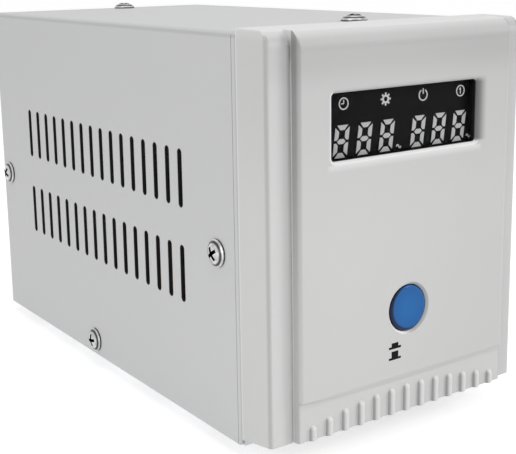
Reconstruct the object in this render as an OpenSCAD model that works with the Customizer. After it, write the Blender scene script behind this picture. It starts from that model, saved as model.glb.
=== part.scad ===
// Desktop voltage stabilizer: steel case, moulded front, transformer, boards and rear sockets.
// Millimetres, +Z up, +X to the right seen from the front, the front faces -Y.
// The origin is the middle of the footprint at floor level.

/* [Case] */
// Width of the steel case
case_w = 110; // [104:1:124]
// Height of the steel case without the feet
case_h = 138; // [132:1:150]
// Length of the steel case behind the moulded front
case_l = 201; // [196:1:226]
// Thickness of the cover sheet
cover_t = 1; // [0.8:0.1:1.2]
// Thickness of the chassis sheet
sheet_t = 1.2; // [1:0.1:1.5]
// Bend radius along the two top edges of the cover
top_bend_r = 1.8; // [1.5:0.1:3]
// Bend radius of the cover's rear edges
rear_bend_r = 2.8; // [2:0.1:3.5]
// Rounding of the cover's lower front corners
low_corner_r = 2; // [1:0.5:3]
// Width of the return flange around the rear of the cover
rear_flange_w = 7; // [5:0.5:8]
// Distance of the shallow hem line from the front edge of the cover
hem_in = 2.4; // [2:0.1:4]
// Width and depth of the hem line
hem_line = 0.35; // [0.2:0.05:0.5]

/* [Side vents] */
// Slots in one row
slot_count = 16; // [10:1:18]
// Distance between slots
slot_pitch = 8.6; // [8:0.1:9]
// Width of a slot
slot_w = 2.5; // [2:0.1:3]
// Length of a slot
slot_h = 20.4; // [16:0.2:24]
// Distance between the two rows
slot_row_pitch = 34.3; // [30:0.1:38]

/* [Cover screws] */
// Diameter of the shank
screw_d = 4; // [3:0.5:5]
// Diameter of the pan head
screw_head_d = 9.6; // [8:0.2:10]
// Height of the pan head
screw_head_h = 2.6; // [2:0.1:3]
// Length of the shank below the head
screw_l = 7; // [5:0.5:8]
// Distance of the front screws from the seam
screw_front_in = 13; // [10:0.5:15]
// Distance of the rear screws from the rear face
screw_rear_in = 9.5; // [9:0.5:12]
// Height of the middle screws on the sides
screw_mid_z = 64.4; // [60:0.2:72]
// Height of the lower screws on the sides
screw_low_z = 6.4; // [6:0.2:8]
// Distance of the top front screw from the seam
screw_top_in = 18; // [16:0.5:34]
// Distance of the top screws from the middle plane
screw_top_x = 8; // [4:0.5:24]

/* [Moulded front] */
// Depth of the front from the seam to the side strips
bezel_l = 17; // [15:0.5:20]
// How far the middle panel stands in front of the strips
panel_out = 4; // [3:0.2:4]
// Width of each side strip
strip_w = 8.8; // [8:0.2:11]
// Wall thickness of the moulding
bezel_t = 2.5; // [2.2:0.1:2.8]
// How far the moulding rises above the steel top
bezel_rise = 1.2; // [0.6:0.1:2]
// Height of its lower edge at the seam
bezel_low_back = 2.5; // [2:0.1:4]
// Height of its lower edge at the strips
bezel_low_front = 5.4; // [5:0.1:7]
// How far the roof of the moulding falls from the seam to the panel
roof_drop = 0.5; // [0:0.1:2]
// Radius of the rounded top edge
brow_r = 6.5; // [6:0.5:10]
// How far the crown of the rounded edge would stand above the roof
brow_over = 0.2; // [0.2:0.1:1.6]
// Rounding of the upright edges
edge_r = 1.2; // [0.8:0.1:1.6]
// Width and depth of the shadow line beside the panel
panel_line = 0.6; // [0.4:0.1:0.8]

/* [Apron and ribs] */
// Height of the straight crease above the case floor
crease_z = 19.9; // [18:0.1:22]
// How far the apron lies behind the panel
apron_step = 1.1; // [0.7:0.1:1.3]
// Height of the crescent under the crease at its middle
crescent_h = 2.4; // [1.5:0.1:3]
// Number of ribs
rib_count = 13; // [9:2:15]
// Distance of the outer ribs from the panel's edges
rib_margin = 5.4; // [4:0.2:8]
// Radius of a rib
rib_r = 1.6; // [1.2:0.1:1.8]
// How far a rib stands out of the apron
rib_out = 1.4; // [1:0.1:1.5]
// Height of the outer ribs' tops above the panel's lower edge
rib_side_h = 5; // [4:0.2:6]
// Extra height of the middle rib
rib_rise = 4.6; // [3:0.2:5]

/* [Display] */
// Width of the window
lens_w = 63.4; // [56:0.2:66]
// Height of the window
lens_h = 21.4; // [18:0.2:23]
// Thickness of the window lens
lens_t = 2; // [1.5:0.1:2.5]
// Distance of the window's middle below the case top
lens_down = 30; // [29:0.5:33]
// Distance of the window's middle from the middle plane
lens_x = -1.2; // [-2:0.1:2]
// How deep the lens lies behind the panel
lens_in = 1.6; // [1.2:0.1:2]
// Width of the rounded rim around the window
lens_rim = 1.6; // [1:0.1:2]
// Corner radius of the window
lens_r = 1.2; // [0.8:0.1:2]
// Width of the lens's edge behind the rim on which it rests
lens_seat = 1; // [0.8:0.1:1.5]
// Wall thickness of the frame around the lens and its depth behind the lens
lens_wall = 2; // [1.5:0.1:2.2]
// Clearance around the lens in its pocket
lens_gap = 0.05; // [0.03:0.01:0.1]
// Clearance between the display block and the lens in front of it
display_gap = 0.3; // [0.2:0.05:0.4]

/* [Button] */
// Radius of the blue cap
cap_r = 8; // [7:0.1:8.5]
// Clearance between the cap and its hole
cap_gap = 0.32; // [0.3:0.02:0.4]
// Sink of the flush cap below the panel
cap_in = 0.4; // [0.2:0.1:0.6]
// Width of the sunk ring around the cap
cap_ring = 0.9; // [0.6:0.1:1.2]
// Height of the button's axis above the case floor
button_z = 43; // [40:0.5:46]
// How far the cap springs out of the panel when it is released
cap_travel = 3; // [2:0.1:3]
// How far the flush cap can still be pushed in
cap_overtravel = 0.5; // [0.3:0.1:0.5]
// Width of the cap's retaining flange
cap_flange_w = 1.6; // [1.2:0.1:2]
// Wall thickness of the cap
cap_t = 1.6; // [1.4:0.1:2]
// Width of the square switch housing
switch_w = 7; // [6:0.5:8]
// Radius of the plunger
plunger_r = 1.5; // [1.2:0.1:1.6]
// Outer radius of the spring around the plunger
spring_r = 3.3; // [3.1:0.05:3.4]
// Radius of the spring wire
spring_wire_r = 0.25; // [0.2:0.05:0.3]

/* [Front board] */
// Clearance between the front board and the panel's side walls
board_side_gap = 2.7; // [2:0.1:4]
// Height of the front board's lower edge above the case floor
board_low = 29; // [27:0.5:31]
// Distance of the front board's upper edge below the case top
board_high = 7; // [6:0.5:8]
// Thickness of both circuit boards
board_t = 1.6; // [1.2:0.2:2]
// Depth of the board's face behind the panel
front_board_in = 13; // [12.5:0.5:14]
// Distance of the fixing holes from the board's edge
board_hole_in = 4.5; // [4:0.5:6]

/* [Small screws] */
// Diameter of the small screws
small_d = 3; // [2.5:0.1:3.5]
// Diameter of their heads
small_head_d = 5.6; // [5:0.2:6]
// Height of their heads
small_head_h = 2; // [1.6:0.1:2.4]
// Radial clearance around a fixed screw
thread_gap = 0.05; // [0.03:0.01:0.1]

/* [Feet] */
// Height of a rubber foot
foot_h = 4.5; // [4:0.5:5]
// Radius of a rubber foot
foot_r = 7; // [6:0.5:8]
// Distance of the feet from the case's sides
foot_side_in = 17; // [15:1:21]
// Distance of the feet from the seam and from the rear face
foot_in = 25; // [20:1:30]

/* [Transformer] */
// Clearance between the strap's feet and the chassis' sides
strap_gap = 0.6; // [0.4:0.1:4]
// Thickness of the stack of laminations
core_stack = 50; // [44:1:54]
// Width of the strap over the core
strap_w = 30; // [26:1:34]
// Reach of the strap's feet
strap_foot = 9; // [8.5:0.1:9.5]

/* [Control board] */
// Distance of the control board from the cover's sides
control_side_in = 11; // [10:0.5:13]
// Depth of the control board
control_d = 60; // [58:1:62]
// Distance of the control board from the seam
control_in = 14; // [13:0.5:16]
// Height of the standoffs
standoff_h = 8; // [6:0.5:10]
// Radius of the standoffs
standoff_r = 3; // [2.8:0.1:3.5]

/* [Rear panel] */
// Width and height of the output socket's plate
socket_w = 52; // [50:0.5:54]
// Thickness of the output socket's plate
socket_plate_t = 3; // [2.5:0.1:4]
// Radius of the plug recess
recess_r = 19.7; // [19.5:0.1:20]
// Depth of the plug recess
recess_l = 15.5; // [15:0.5:17]
// Radius of the live and neutral holes
pin_hole_r = 2.6; // [2.5:0.05:2.7]
// Distance between the live and neutral holes
pin_pitch = 19; // [19:0.1:19.2]
// Radius of the earth pin
earth_r = 2.4; // [2.35:0.05:2.45]
// Height of the earth pin above the line of the holes
earth_up = 10; // [9.8:0.1:10.2]
// Free length of the earth pin
earth_l = 14; // [13:0.5:14.5]
// Thickness of the recess floor around the pin holes
pin_wall = 5; // [4:0.5:6]
// Length of the brass contacts behind the floor
contact_l = 10; // [8:0.5:12]
// Distance of the rear fittings from the cover's return flange
fitting_gap = 2.5; // [2:0.5:4]
// Distance of the socket's middle below the case top
socket_down = 42; // [40:1:48]
// Distance of the reset button's axis below the case top
breaker_down = 28; // [24:1:32]
// Height of the cord inlet's axis above the case floor
inlet_z = 34; // [30:1:38]
// Radius of the cord's hole
cord_r = 3.6; // [3.2:0.1:4]
// How far the cord inlet stands out of the rear panel
inlet_out = 9; // [7.5:0.5:10]
// Travel of the tripped reset button
breaker_travel = 4; // [3:0.5:4.5]
// Tilt of the rocker to each side of its middle
rocker_tilt = 10; // [8:1:12]
// Clearance around moving pieces
run_gap = 0.35; // [0.3:0.05:0.4]

/* [Hidden] */
$fn = 64;
// Overrun of every cutting shape
cut = 1;
half_w = case_w / 2;
in_w = case_w - 2 * cover_t;
in_h = case_h - cover_t;
panel_y = -bezel_l - panel_out;
panel_w = case_w - 2 * strip_w;
panel_low = bezel_low_front + (bezel_low_front - bezel_low_back) * panel_out / bezel_l;
bezel_top = case_h + bezel_rise;
rib_pitch = (panel_w - 2 * rib_margin) / (rib_count - 1);
apron_y = panel_y + apron_step;
front_reach = bezel_l + panel_out + rib_out - apron_step;
rear_face = case_l - cover_t;
rear_in = rear_face - sheet_t;
rear_reach = inlet_out - cover_t;
seam_y = front_reach - (front_reach + case_l + rear_reach) / 2;
flange_h = 2.5 * screw_low_z;
flange_l = 1.5 * screw_front_in;
frame_screw_z = 0.6 * flange_h;
screw_hole_r = screw_d / 2 + thread_gap;
small_hole_r = small_d / 2 + thread_gap;
lens_y = panel_y + lens_in;
lens_back = lens_y + lens_t;
lens_z = case_h - lens_down;
front_board_w = panel_w - 2 * (bezel_t + board_side_gap);
front_board_h = case_h - board_low - board_high;
board_y = panel_y + front_board_in;
board_mid_z = board_low + front_board_h / 2;
board_hole_x = front_board_w / 2 - board_hole_in;
board_hole_z = front_board_h / 2 - board_hole_in;
boss_r = 1.15 * small_d;
bezel_screw_x = half_w - bezel_t - small_d;
bezel_screw_low = flange_h + small_head_d;
bezel_screw_high = bezel_top - 4 * small_d;
cap_y = panel_y + cap_in;
cap_end = panel_y + bezel_t + cap_travel + cap_t + run_gap;
plunger_end = board_y - plunger_r;
switch_y = board_y - front_board_in / 2;
foot_x = half_w - foot_side_in;
// Width of the laminations' unit: the core is six units wide and five high.
core_unit = (in_w - 2 * (2 * sheet_t + strap_foot + strap_gap)) / 6;
core_w = 6 * core_unit;
core_h = 5 * core_unit;
bobbin_gap = sheet_t / 4;
bobbin_out = core_unit - 2 * bobbin_gap;
strap_x = core_w / 2 + sheet_t + strap_foot / 2;
bolt_y = strap_w / 3.3;
control_w = in_w - 2 * control_side_in;
control_z = sheet_t + standoff_h;
control_hole_x = control_w / 2 - board_hole_in;
control_hole_y = control_d / 2 - board_hole_in;
control_y = control_in + control_d / 2;
// Width, depth and height of the parts on the boards.
connector_size = [28, 8, 8];
relay_size = [15.5, 19, 15.6];
chip_size = [7.6, 18, 3.2];
sink_size = [21, 7.2, 21];
blade_size = [6.3, 0.8, 9];
blade_pitch = (2 * (control_hole_x - small_head_d) - blade_size[0]) / 5;
capacitor_r = 4.8;
capacitor_h = 19;
socket_floor = rear_face + socket_plate_t - recess_l;
socket_x = half_w - rear_flange_w - socket_w / 2 - fitting_gap;
socket_z = case_h - socket_down;
contact_r = pin_hole_r + cover_t;
contact_bore_r = pin_hole_r - 4 * thread_gap;
socket_back = socket_floor - pin_wall - contact_l;
earth_root_r = earth_r + cover_t;
socket_body_r = recess_r + 3 * cover_t;
rocker_r = 8.9;
rocker_w = 9.6;
// Width, height and depth of the rocker switch's body and of its flange.
rocker_body = [13.6, 20.4, 14];
rocker_flange = [15.4, 22.6, 2];
rocker_y = rear_face - rocker_flange[2];
trunnion_r = 1;
trunnion_l = 0.9;
breaker_z = case_h - breaker_down;
rocker_z = (breaker_z + inlet_z) / 2;
breaker_r = 5;
breaker_button_r = 3;
breaker_out = 7;
breaker_l = 28;
inlet_r = 6;
nut_r = 1.6 * inlet_r;
column_x = half_w - rear_flange_w - nut_r - fitting_gap;
core_y = (control_in + control_d + rear_in - 2 * inlet_r) / 2;

// Places a piece in the case's own frame: seam at y = 0, case floor at z = 0.
module in_case() {
  translate([0, seam_y, foot_h]) children();
}

// Flat shape drawn as X and Z, extruded along Y from y0 to y1.
module along_y(y0, y1) {
  translate([0, y1, 0]) rotate([90, 0, 0]) linear_extrude(y1 - y0) children();
}

// Flat shape drawn as Y and Z, extruded along X and centred.
module along_x(w) {
  translate([-w / 2, 0, 0]) rotate([90, 0, 90]) linear_extrude(w) children();
}

// Block between two corners.
module block(a, b) {
  translate(a) cube(b - a);
}

// Cylinder along Y from y0 to y1 around the point x, z.
module rod_y(x, z, r, y0, y1) {
  translate([x, y1, z]) rotate([90, 0, 0]) cylinder(h = y1 - y0, r = r);
}

// Cylinder along X, centred on the point y, z.
module rod_x(y, z, r, w) {
  translate([-w / 2, y, z]) rotate([0, 90, 0]) cylinder(h = w, r = r);
}

// Rectangle from the origin with one radius for each corner:
// lower left, lower right, upper right, upper left.
module rounded(size, radii) {
  difference() {
    square(size);
    for (i = [0:3])
      if (radii[i] > 0)
        translate([(i == 1 || i == 2) ? size[0] : 0, i > 1 ? size[1] : 0])
          rotate(90 * i) difference() {
            translate([-cut, -cut]) square(radii[i] + cut);
            translate([radii[i], radii[i]]) circle(radii[i]);
          }
  }
}

// Rectangle centred on the origin with four equal corners.
module centred(size, r) {
  translate(-size / 2) rounded(size, [r, r, r, r]);
}

// Pan head screw that points along -Z, its seat at z = 0.
module pan_screw(d, head_d, head_h, l) {
  edge = 0.3 * head_h;
  dome = head_h - edge;
  ball = (pow(head_d / 2, 2) + pow(dome, 2)) / (2 * dome);
  slot = [0.52 * head_d, 0.13 * head_d];
  difference() {
    intersection() {
      cylinder(h = head_h, d = head_d);
      translate([0, 0, head_h - ball]) sphere(ball);
    }
    for (a = [0, 90])
      rotate(a) translate([-slot[0] / 2, -slot[1] / 2, 0.35 * head_h]) cube([slot[0], slot[1], head_h]);
  }
  translate([0, 0, -l]) cylinder(h = l, d = d);
}

module cover_screw() {
  pan_screw(screw_d, screw_head_d, screw_head_h, screw_l);
}

module small_screw(l) {
  pan_screw(small_d, small_head_d, small_head_h, l);
}

// Side screws: distance from the seam, height and turn of the cross.
side_screws = [
  [screw_front_in, screw_mid_z, 35],
  [case_l - screw_rear_in, screw_mid_z, 60],
  [0.54 * case_l, screw_low_z, 10]
];

// Top screws: distance from the seam and turn of the cross.
top_screws = [[screw_top_in, 20], [case_l - screw_rear_in, 70]];

// Screw holes through both sides and the top, for the cover and for the flanges behind it.
module cover_holes() {
  for (p = side_screws) rod_x(p[0], p[1], screw_hole_r, case_w + 2 * cut);
  for (p = top_screws)
    translate([screw_top_x, p[0], in_h - screw_l]) cylinder(h = 2 * screw_l, r = screw_hole_r);
}

// Two rows of upright slots through both sides.
module side_slots() {
  first = (case_l - (slot_count - 1) * slot_pitch) / 2;
  for (row = [-1, 1], i = [0 : slot_count - 1])
    along_x(case_w + 2 * cut)
      translate([first + i * slot_pitch, case_h / 2 + row * slot_row_pitch / 2])
        centred([slot_w, slot_h], slot_w / 2);
}

// The cover's envelope, smaller by s on its sides, top and rear.
module cover_block(s, low) {
  intersection() {
    along_y(-cut, case_l - s)
      translate([s - half_w, -low])
        rounded([case_w - 2 * s, case_h - s + low], [0, 0, top_bend_r - s / 2, top_bend_r - s / 2]);
    translate([s - half_w, -cut, -low])
      linear_extrude(case_h + low)
        rounded([case_w - 2 * s, case_l - s + cut], [0, 0, rear_bend_r - s, rear_bend_r - s]);
    along_x(case_w)
      translate([-cut, -low])
        rounded([case_l - s + cut, case_h - s + low], [0, 0, rear_bend_r - s, 0]);
  }
}

// Keeps what fits inside the cover's bends.
module inside_cover() {
  intersection() {
    cover_block(cover_t, cut);
    children();
  }
}

module top_cover() {
  rear_cut = case_w - 2 * rear_flange_w;
  color("gainsboro") in_case() difference() {
    intersection() {
      cover_block(0, 0);
      along_x(case_w) rounded([case_l, case_h], [low_corner_r, low_corner_r, 0, 0]);
    }
    cover_block(cover_t, cut);
    block([-rear_cut / 2, case_l - 2 * rear_bend_r, -cut],
      [rear_cut / 2, case_l + cut, case_h - rear_flange_w]);
    for (s = [-1, 1])
      translate([s * half_w, hem_in, case_h / 2])
        cube([2 * hem_line, hem_line, case_h + 2 * cut], center = true);
    translate([0, hem_in, case_h]) cube([case_w + 2 * cut, hem_line, 2 * hem_line], center = true);
    side_slots();
    cover_holes();
  }
}

module base_chassis() {
  y0 = sheet_t;
  y1 = rear_in;
  color("silver") in_case() inside_cover() difference() {
    block([-in_w / 2, y0, 0], [in_w / 2, y1, flange_h]);
    block([sheet_t - in_w / 2, y0 + sheet_t, sheet_t], [in_w / 2 - sheet_t, y1 - sheet_t, flange_h + cut]);
    cover_holes();
    foot_holes();
    bolt_places() translate([0, 0, -cut]) cylinder(h = flange_h, r = screw_hole_r);
    frame_screw_holes();
  }
}

module foot_holes() {
  for (x = [-1, 1], y = [foot_in, case_l - foot_in])
    translate([x * foot_x, y, -foot_h - cut]) cylinder(h = foot_h + flange_h, r = small_hole_r);
}

module frame_screw_holes() {
  for (x = [-1, 1])
    rod_y(x * case_w / 4, frame_screw_z, small_hole_r, -cut, rear_face + cut);
}

module front_frame() {
  gap_w = panel_w - 2 * panel_out;
  color("silver") in_case() inside_cover() difference() {
    union() {
      block([-in_w / 2, 0, 0], [in_w / 2, sheet_t, in_h]);
      for (s = [-1, 1])
        translate([s * (in_w - sheet_t) / 2, flange_l / 2, (in_h + flange_h) / 2])
          cube([sheet_t, flange_l, in_h - flange_h - sheet_t], center = true);
      block([screw_top_x - screw_head_d, 0, in_h - sheet_t],
        [screw_top_x + screw_head_d, screw_top_in + screw_head_d, in_h]);
    }
    block([-gap_w / 2, -cut, flange_h + sheet_t], [gap_w / 2, sheet_t + cut, in_h - flange_h]);
    cover_holes();
    frame_screw_holes();
    bezel_screw_places() rod_y(0, 0, small_hole_r, -cut, sheet_t + cut);
  }
}

// Flat rear wall with the fittings' holes and a row of vents.
module rear_panel() {
  vent_pitch = 0.8 * slot_pitch;
  color("silver") in_case() inside_cover() difference() {
    block([-in_w / 2, rear_in, 0], [in_w / 2, rear_face, in_h]);
    frame_screw_holes();
    rod_y(socket_x, socket_z, socket_body_r + thread_gap, rear_in - cut, rear_face + cut);
    socket_screw_places() rod_y(0, 0, small_hole_r, rear_in - cut, rear_face + cut);
    rod_y(-column_x, breaker_z, breaker_r + thread_gap, rear_in - cut, rear_face + cut);
    rod_y(-column_x, inlet_z, inlet_r + thread_gap, rear_in - cut, rear_face + cut);
    block([-column_x - rocker_body[0] / 2 - thread_gap, rear_in - cut, rocker_z - rocker_body[1] / 2 - thread_gap],
      [-column_x + rocker_body[0] / 2 + thread_gap, rear_face + cut, rocker_z + rocker_body[1] / 2 + thread_gap]);
    for (i = [-3:3])
      along_y(rear_in - cut, rear_face + cut)
        translate([socket_x + i * vent_pitch, case_h / 4]) centred([slot_w, slot_h], slot_w / 2);
  }
}

// Folded frame spot-welded to the rear panel; the cover is screwed to it.
module rear_frame() {
  low = flange_h + sheet_t;
  lip = 3 * sheet_t;
  color("silver") in_case() inside_cover() difference() {
    union() {
      for (s = [-1, 1]) {
        translate([s * (in_w - sheet_t) / 2, rear_in - flange_l / 2, (in_h + low) / 2])
          cube([sheet_t, flange_l, in_h - low], center = true);
        translate([s * (in_w - lip) / 2, rear_in - sheet_t / 2, (in_h + low) / 2])
          cube([lip, sheet_t, in_h - low], center = true);
      }
      block([-in_w / 2, rear_in - flange_l, in_h - sheet_t], [in_w / 2, rear_in, in_h]);
      block([-in_w / 2, rear_in - sheet_t, in_h - lip], [in_w / 2, rear_in, in_h]);
    }
    cover_holes();
  }
}

module cover_screws() {
  color("lightgray") in_case() {
    for (s = [-1, 1], p = side_screws)
      translate([s * half_w, p[0], p[1]]) rotate([0, s * 90, 0]) rotate(p[2]) cover_screw();
    for (p = top_screws)
      translate([screw_top_x, p[0], case_h]) rotate(p[1]) cover_screw();
  }
}

// Two screws join the front frame to the chassis, two the rear panel.
module frame_screws() {
  color("lightgray") in_case()
    for (x = [-1, 1]) {
      translate([x * case_w / 4, 0, frame_screw_z]) rotate([90, 0, 0]) small_screw(4 * sheet_t);
      translate([x * case_w / 4, rear_face, frame_screw_z]) rotate([-90, 0, 0]) small_screw(4 * sheet_t);
    }
}

// Outline of the moulding seen from the side, smaller by s. The front lies at y = -l, and the roof, which falls
// towards the panel, cuts the rounded top edge.
module bezel_side(l, low, s) {
  drop = low - bezel_low_back;
  fall = roof_drop / (bezel_l + panel_out);
  difference() {
    translate([s - l, 0]) rounded([l - s + cut, bezel_top + brow_over - s], [0, 0, 0, brow_r - s]);
    polygon([[-l - cut, bezel_top - s - fall * (l + cut)], [2 * cut, bezel_top - s + fall * 2 * cut],
      [2 * cut, bezel_top + brow_over + cut], [-l - cut, bezel_top + brow_over + cut]]);
    polygon([[-l, -cut], [-l, low + s], [0, bezel_low_back + s], [2 * cut, bezel_low_back + s - drop * cut / l],
      [2 * cut, -cut]]);
  }
}

// Everything inside the moulding's outline seen from above.
module bezel_plan(w, l, r) {
  translate([-w / 2, -l, 0]) linear_extrude(bezel_top) rounded([w, l], [r, r, 0, 0]);
}

module bezel_outside() {
  intersection() {
    union() {
      intersection() {
        along_x(case_w) bezel_side(bezel_l, bezel_low_front, 0);
        bezel_plan(case_w, bezel_l, edge_r);
      }
      intersection() {
        along_x(panel_w) bezel_side(bezel_l + panel_out, panel_low, 0);
        bezel_plan(panel_w, bezel_l + panel_out, edge_r);
      }
    }
    along_y(panel_y, 0) translate([-half_w, 0]) rounded([case_w, bezel_top], [0, 0, edge_r, edge_r]);
  }
}

// The hollow behind the strips and the panel.
module bezel_inside() {
  along_x(case_w - 2 * bezel_t) bezel_side(bezel_l, bezel_low_front, bezel_t);
  along_x(panel_w - 2 * bezel_t) bezel_side(bezel_l + panel_out, panel_low, bezel_t);
}

// Apron cut below the crease, with the crescent left standing under it.
module apron_cut() {
  chord = panel_w / 2;
  arc_r = (pow(chord, 2) + pow(crescent_h, 2)) / (2 * crescent_h);
  difference() {
    block([-panel_w, panel_y - cut, 0], [panel_w, apron_y, crease_z]);
    intersection() {
      rod_y(0, crease_z - crescent_h + arc_r, arc_r, panel_y - cut, apron_y + cut);
      along_x(2 * panel_w) polygon([
        [panel_y, crease_z],
        [apron_y, crease_z - crescent_h],
        [apron_y + cut, crease_z - crescent_h],
        [apron_y + cut, crease_z],
      ]);
    }
  }
}

// Upright ribs whose tops follow an arch.
module ribs() {
  mid = (rib_count - 1) / 2;
  y = apron_y + rib_r - rib_out;
  for (i = [-mid : mid]) {
    h = rib_side_h + rib_rise * (1 - pow(i / mid, 2));
    translate([i * rib_pitch, y, panel_low]) {
      cylinder(h = h - rib_r, r = rib_r);
      translate([0, 0, h - rib_r]) sphere(rib_r);
    }
  }
}

// Rounded rim of the window: three sloping rings from the panel down to the lens.
module window_rim() {
  steps = 3;
  for (i = [0 : steps - 1]) {
    a = 90 * i / steps;
    b = 90 * (i + 1) / steps;
    hull() {
      rim_slice(lens_rim * (1 - sin(a)), lens_in * (1 - cos(a)));
      rim_slice(lens_rim * (1 - sin(b)), lens_in * (1 - cos(b)));
    }
  }
}

// Thin slice of the window opening, wider by grow, at a depth behind the panel.
module rim_slice(grow, depth) {
  y = panel_y + depth;
  translate([lens_x, 0, lens_z]) along_y(y, y + lens_in / 100)
    centred([lens_w + 2 * grow, lens_h + 2 * grow], lens_r + grow, $fn = 32);
}

module bezel_screw_places() {
  for (s = [-1, 1], z = [bezel_screw_low, bezel_screw_high])
    translate([s * bezel_screw_x, 0, z]) children();
}

module front_board_places() {
  for (x = [-1, 1], z = [-1, 1])
    translate([x * board_hole_x, 0, board_mid_z + z * board_hole_z]) children();
}

module front_bezel() {
  pocket = [lens_w + 2 * lens_seat, lens_h + 2 * lens_seat];
  frame_y = lens_back + lens_wall;
  hole_r = cap_r + cap_gap;
  color("whitesmoke") in_case() difference() {
    union() {
      difference() {
        bezel_outside();
        bezel_inside();
        apron_cut();
        for (s = [-1, 1])
          translate([s * (panel_w + panel_line) / 2, -bezel_l, case_h / 2])
            cube([panel_line, 2 * panel_line, 2 * case_h], center = true);
      }
      ribs();
      translate([lens_x, 0, lens_z]) along_y(panel_y + bezel_t / 2, frame_y)
        centred(pocket + 2 * [lens_wall, lens_wall], lens_r + lens_seat);
      bezel_screw_places() rod_y(0, 0, boss_r, -bezel_l + bezel_t / 2, 0);
      front_board_places() rod_y(0, 0, boss_r, panel_y + bezel_t / 2, board_y);
    }
    window_rim();
    translate([lens_x, 0, lens_z]) {
      along_y(panel_y, lens_back) centred([lens_w, lens_h], lens_r);
      along_y(lens_y, frame_y + cut) centred(pocket, lens_r + lens_seat);
    }
    rod_y(0, button_z, hole_r, panel_y - cut, panel_y + bezel_t + cut);
    translate([0, panel_y, button_z]) rotate([-90, 0, 0])
      cylinder(h = cap_ring, r1 = hole_r + cap_ring, r2 = hole_r);
    bezel_screw_places() rod_y(0, 0, small_hole_r, -bezel_l + 1.5 * bezel_t, cut);
    front_board_places() rod_y(0, 0, small_hole_r, panel_y + 1.5 * bezel_t, board_y + cut);
  }
}

module bezel_screws() {
  color("lightgray") in_case() bezel_screw_places()
    translate([0, sheet_t, 0]) rotate([-90, 0, 0]) small_screw(bezel_l / 2);
}

module display_window() {
  edge = lens_seat - lens_gap;
  color("black") in_case() translate([lens_x, 0, lens_z])
    along_y(lens_y, lens_back) centred([lens_w + 2 * edge, lens_h + 2 * edge], lens_r + edge);
}

module display_block() {
  color("dimgray") in_case() translate([lens_x, 0, lens_z])
    along_y(lens_back + display_gap, board_y) centred([lens_w, lens_h], display_gap);
}

module front_board() {
  color("seagreen") in_case() difference() {
    translate([0, 0, board_mid_z]) along_y(board_y, board_y + board_t)
      centred([front_board_w, front_board_h], board_t);
    front_board_places() rod_y(0, 0, small_hole_r, board_y - cut, board_y + board_t + cut);
  }
}

module front_board_screws() {
  color("lightgray") in_case() front_board_places()
    translate([0, board_y + board_t, 0]) rotate([-90, 0, 0]) small_screw(front_board_in / 2);
}

module board_connector() {
  y = board_y + board_t;
  half = connector_size[0] / 2;
  back = y + connector_size[1];
  top = board_mid_z + connector_size[2];
  color("white") in_case() difference() {
    block([-half, y, board_mid_z], [half, back, top]);
    block([cover_t - half, (y + back) / 2, board_mid_z + cover_t], [half - cover_t, back + cut, top - cover_t]);
  }
}

// Places a shape that is drawn with +Z into the case at the button's middle; z = 0 is the panel's face.
module at_button() {
  translate([0, panel_y, button_z]) rotate([-90, 0, 0]) children();
}

module delay_button() {
  flange_r = cap_r + cap_flange_w;
  front = cap_in;
  back = cap_end - panel_y;
  boss_end = back - cap_t;
  color("dodgerblue") in_case() at_button() {
    difference() {
      union() {
        translate([0, 0, front]) cylinder(h = cap_t, r = cap_r - cap_t / 2);
        translate([0, 0, front + cap_t / 2]) rotate_extrude() {
          square([cap_r - cap_t / 2, cap_t / 2]);
          translate([cap_r - cap_t / 2, 0]) circle(cap_t / 2);
        }
        translate([0, 0, front + cap_t / 2]) cylinder(h = back - front - cap_t / 2, r = cap_r);
        translate([0, 0, back - cap_t]) cylinder(h = cap_t, r = flange_r);
      }
      translate([0, 0, front + cap_t]) cylinder(h = back, r = cap_r - cap_t);
    }
    difference() {
      translate([0, 0, front + cap_t / 2]) cylinder(h = boss_end - front - cap_t / 2, r = plunger_r + cap_t / 2);
      translate([0, 0, front + cap_t]) cylinder(h = back, r = plunger_r + thread_gap);
    }
  }
}

module delay_plunger() {
  color("white") in_case() rod_y(0, button_z, plunger_r, cap_y + cap_t, plunger_end);
}

// Sleeve that fills the spring's space around the plunger.
module delay_spring() {
  color("silver") in_case() difference() {
    rod_y(0, button_z, spring_r, cap_y + cap_t, switch_y);
    rod_y(0, button_z, spring_r - 2 * spring_wire_r, cap_y, board_y);
  }
}

module delay_switch_housing() {
  color("black") in_case() difference() {
    translate([0, 0, button_z]) along_y(switch_y, board_y) centred([switch_w, switch_w], plunger_r / 3);
    rod_y(0, button_z, plunger_r + run_gap, switch_y - cut, board_y - plunger_r / 2);
  }
}

module rubber_feet() {
  color("dimgray") in_case() difference() {
    for (x = [-1, 1], y = [foot_in, case_l - foot_in])
      translate([x * foot_x, y, -foot_h]) cylinder(h = foot_h, r1 = 0.9 * foot_r, r2 = foot_r);
    foot_holes();
    for (x = [-1, 1], y = [foot_in, case_l - foot_in])
      translate([x * foot_x, y, -foot_h - cut]) cylinder(h = foot_h / 2 + cut, d = small_head_d + small_d / 4);
  }
}

module foot_screws() {
  color("lightgray") in_case()
    for (x = [-1, 1], y = [foot_in, case_l - foot_in])
      translate([x * foot_x, y, -foot_h / 2]) rotate([180, 0, 0]) small_screw(foot_h + sheet_t);
}

// Laminated core: three legs between two yokes.
module transformer_core() {
  color("slategray") in_case() translate([0, core_y, sheet_t + core_h / 2])
    along_y(-core_stack / 2, core_stack / 2) difference() {
      square([core_w, core_h], center = true);
      for (s = [-1, 1]) translate([s * 1.5 * core_unit, 0])
        square([core_unit, 3 * core_unit], center = true);
    }
}

// Rectangular tube around the middle leg: outer reach beyond the leg, from z0 to z1.
module leg_tube(inner, outer, z0, z1) {
  leg = [2 * core_unit, core_stack];
  translate([0, core_y, sheet_t + core_h / 2 + z0]) linear_extrude(z1 - z0) difference() {
    centred(leg + 2 * [outer, outer], outer / 2);
    square(leg + 2 * [inner, inner], center = true);
  }
}

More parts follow.
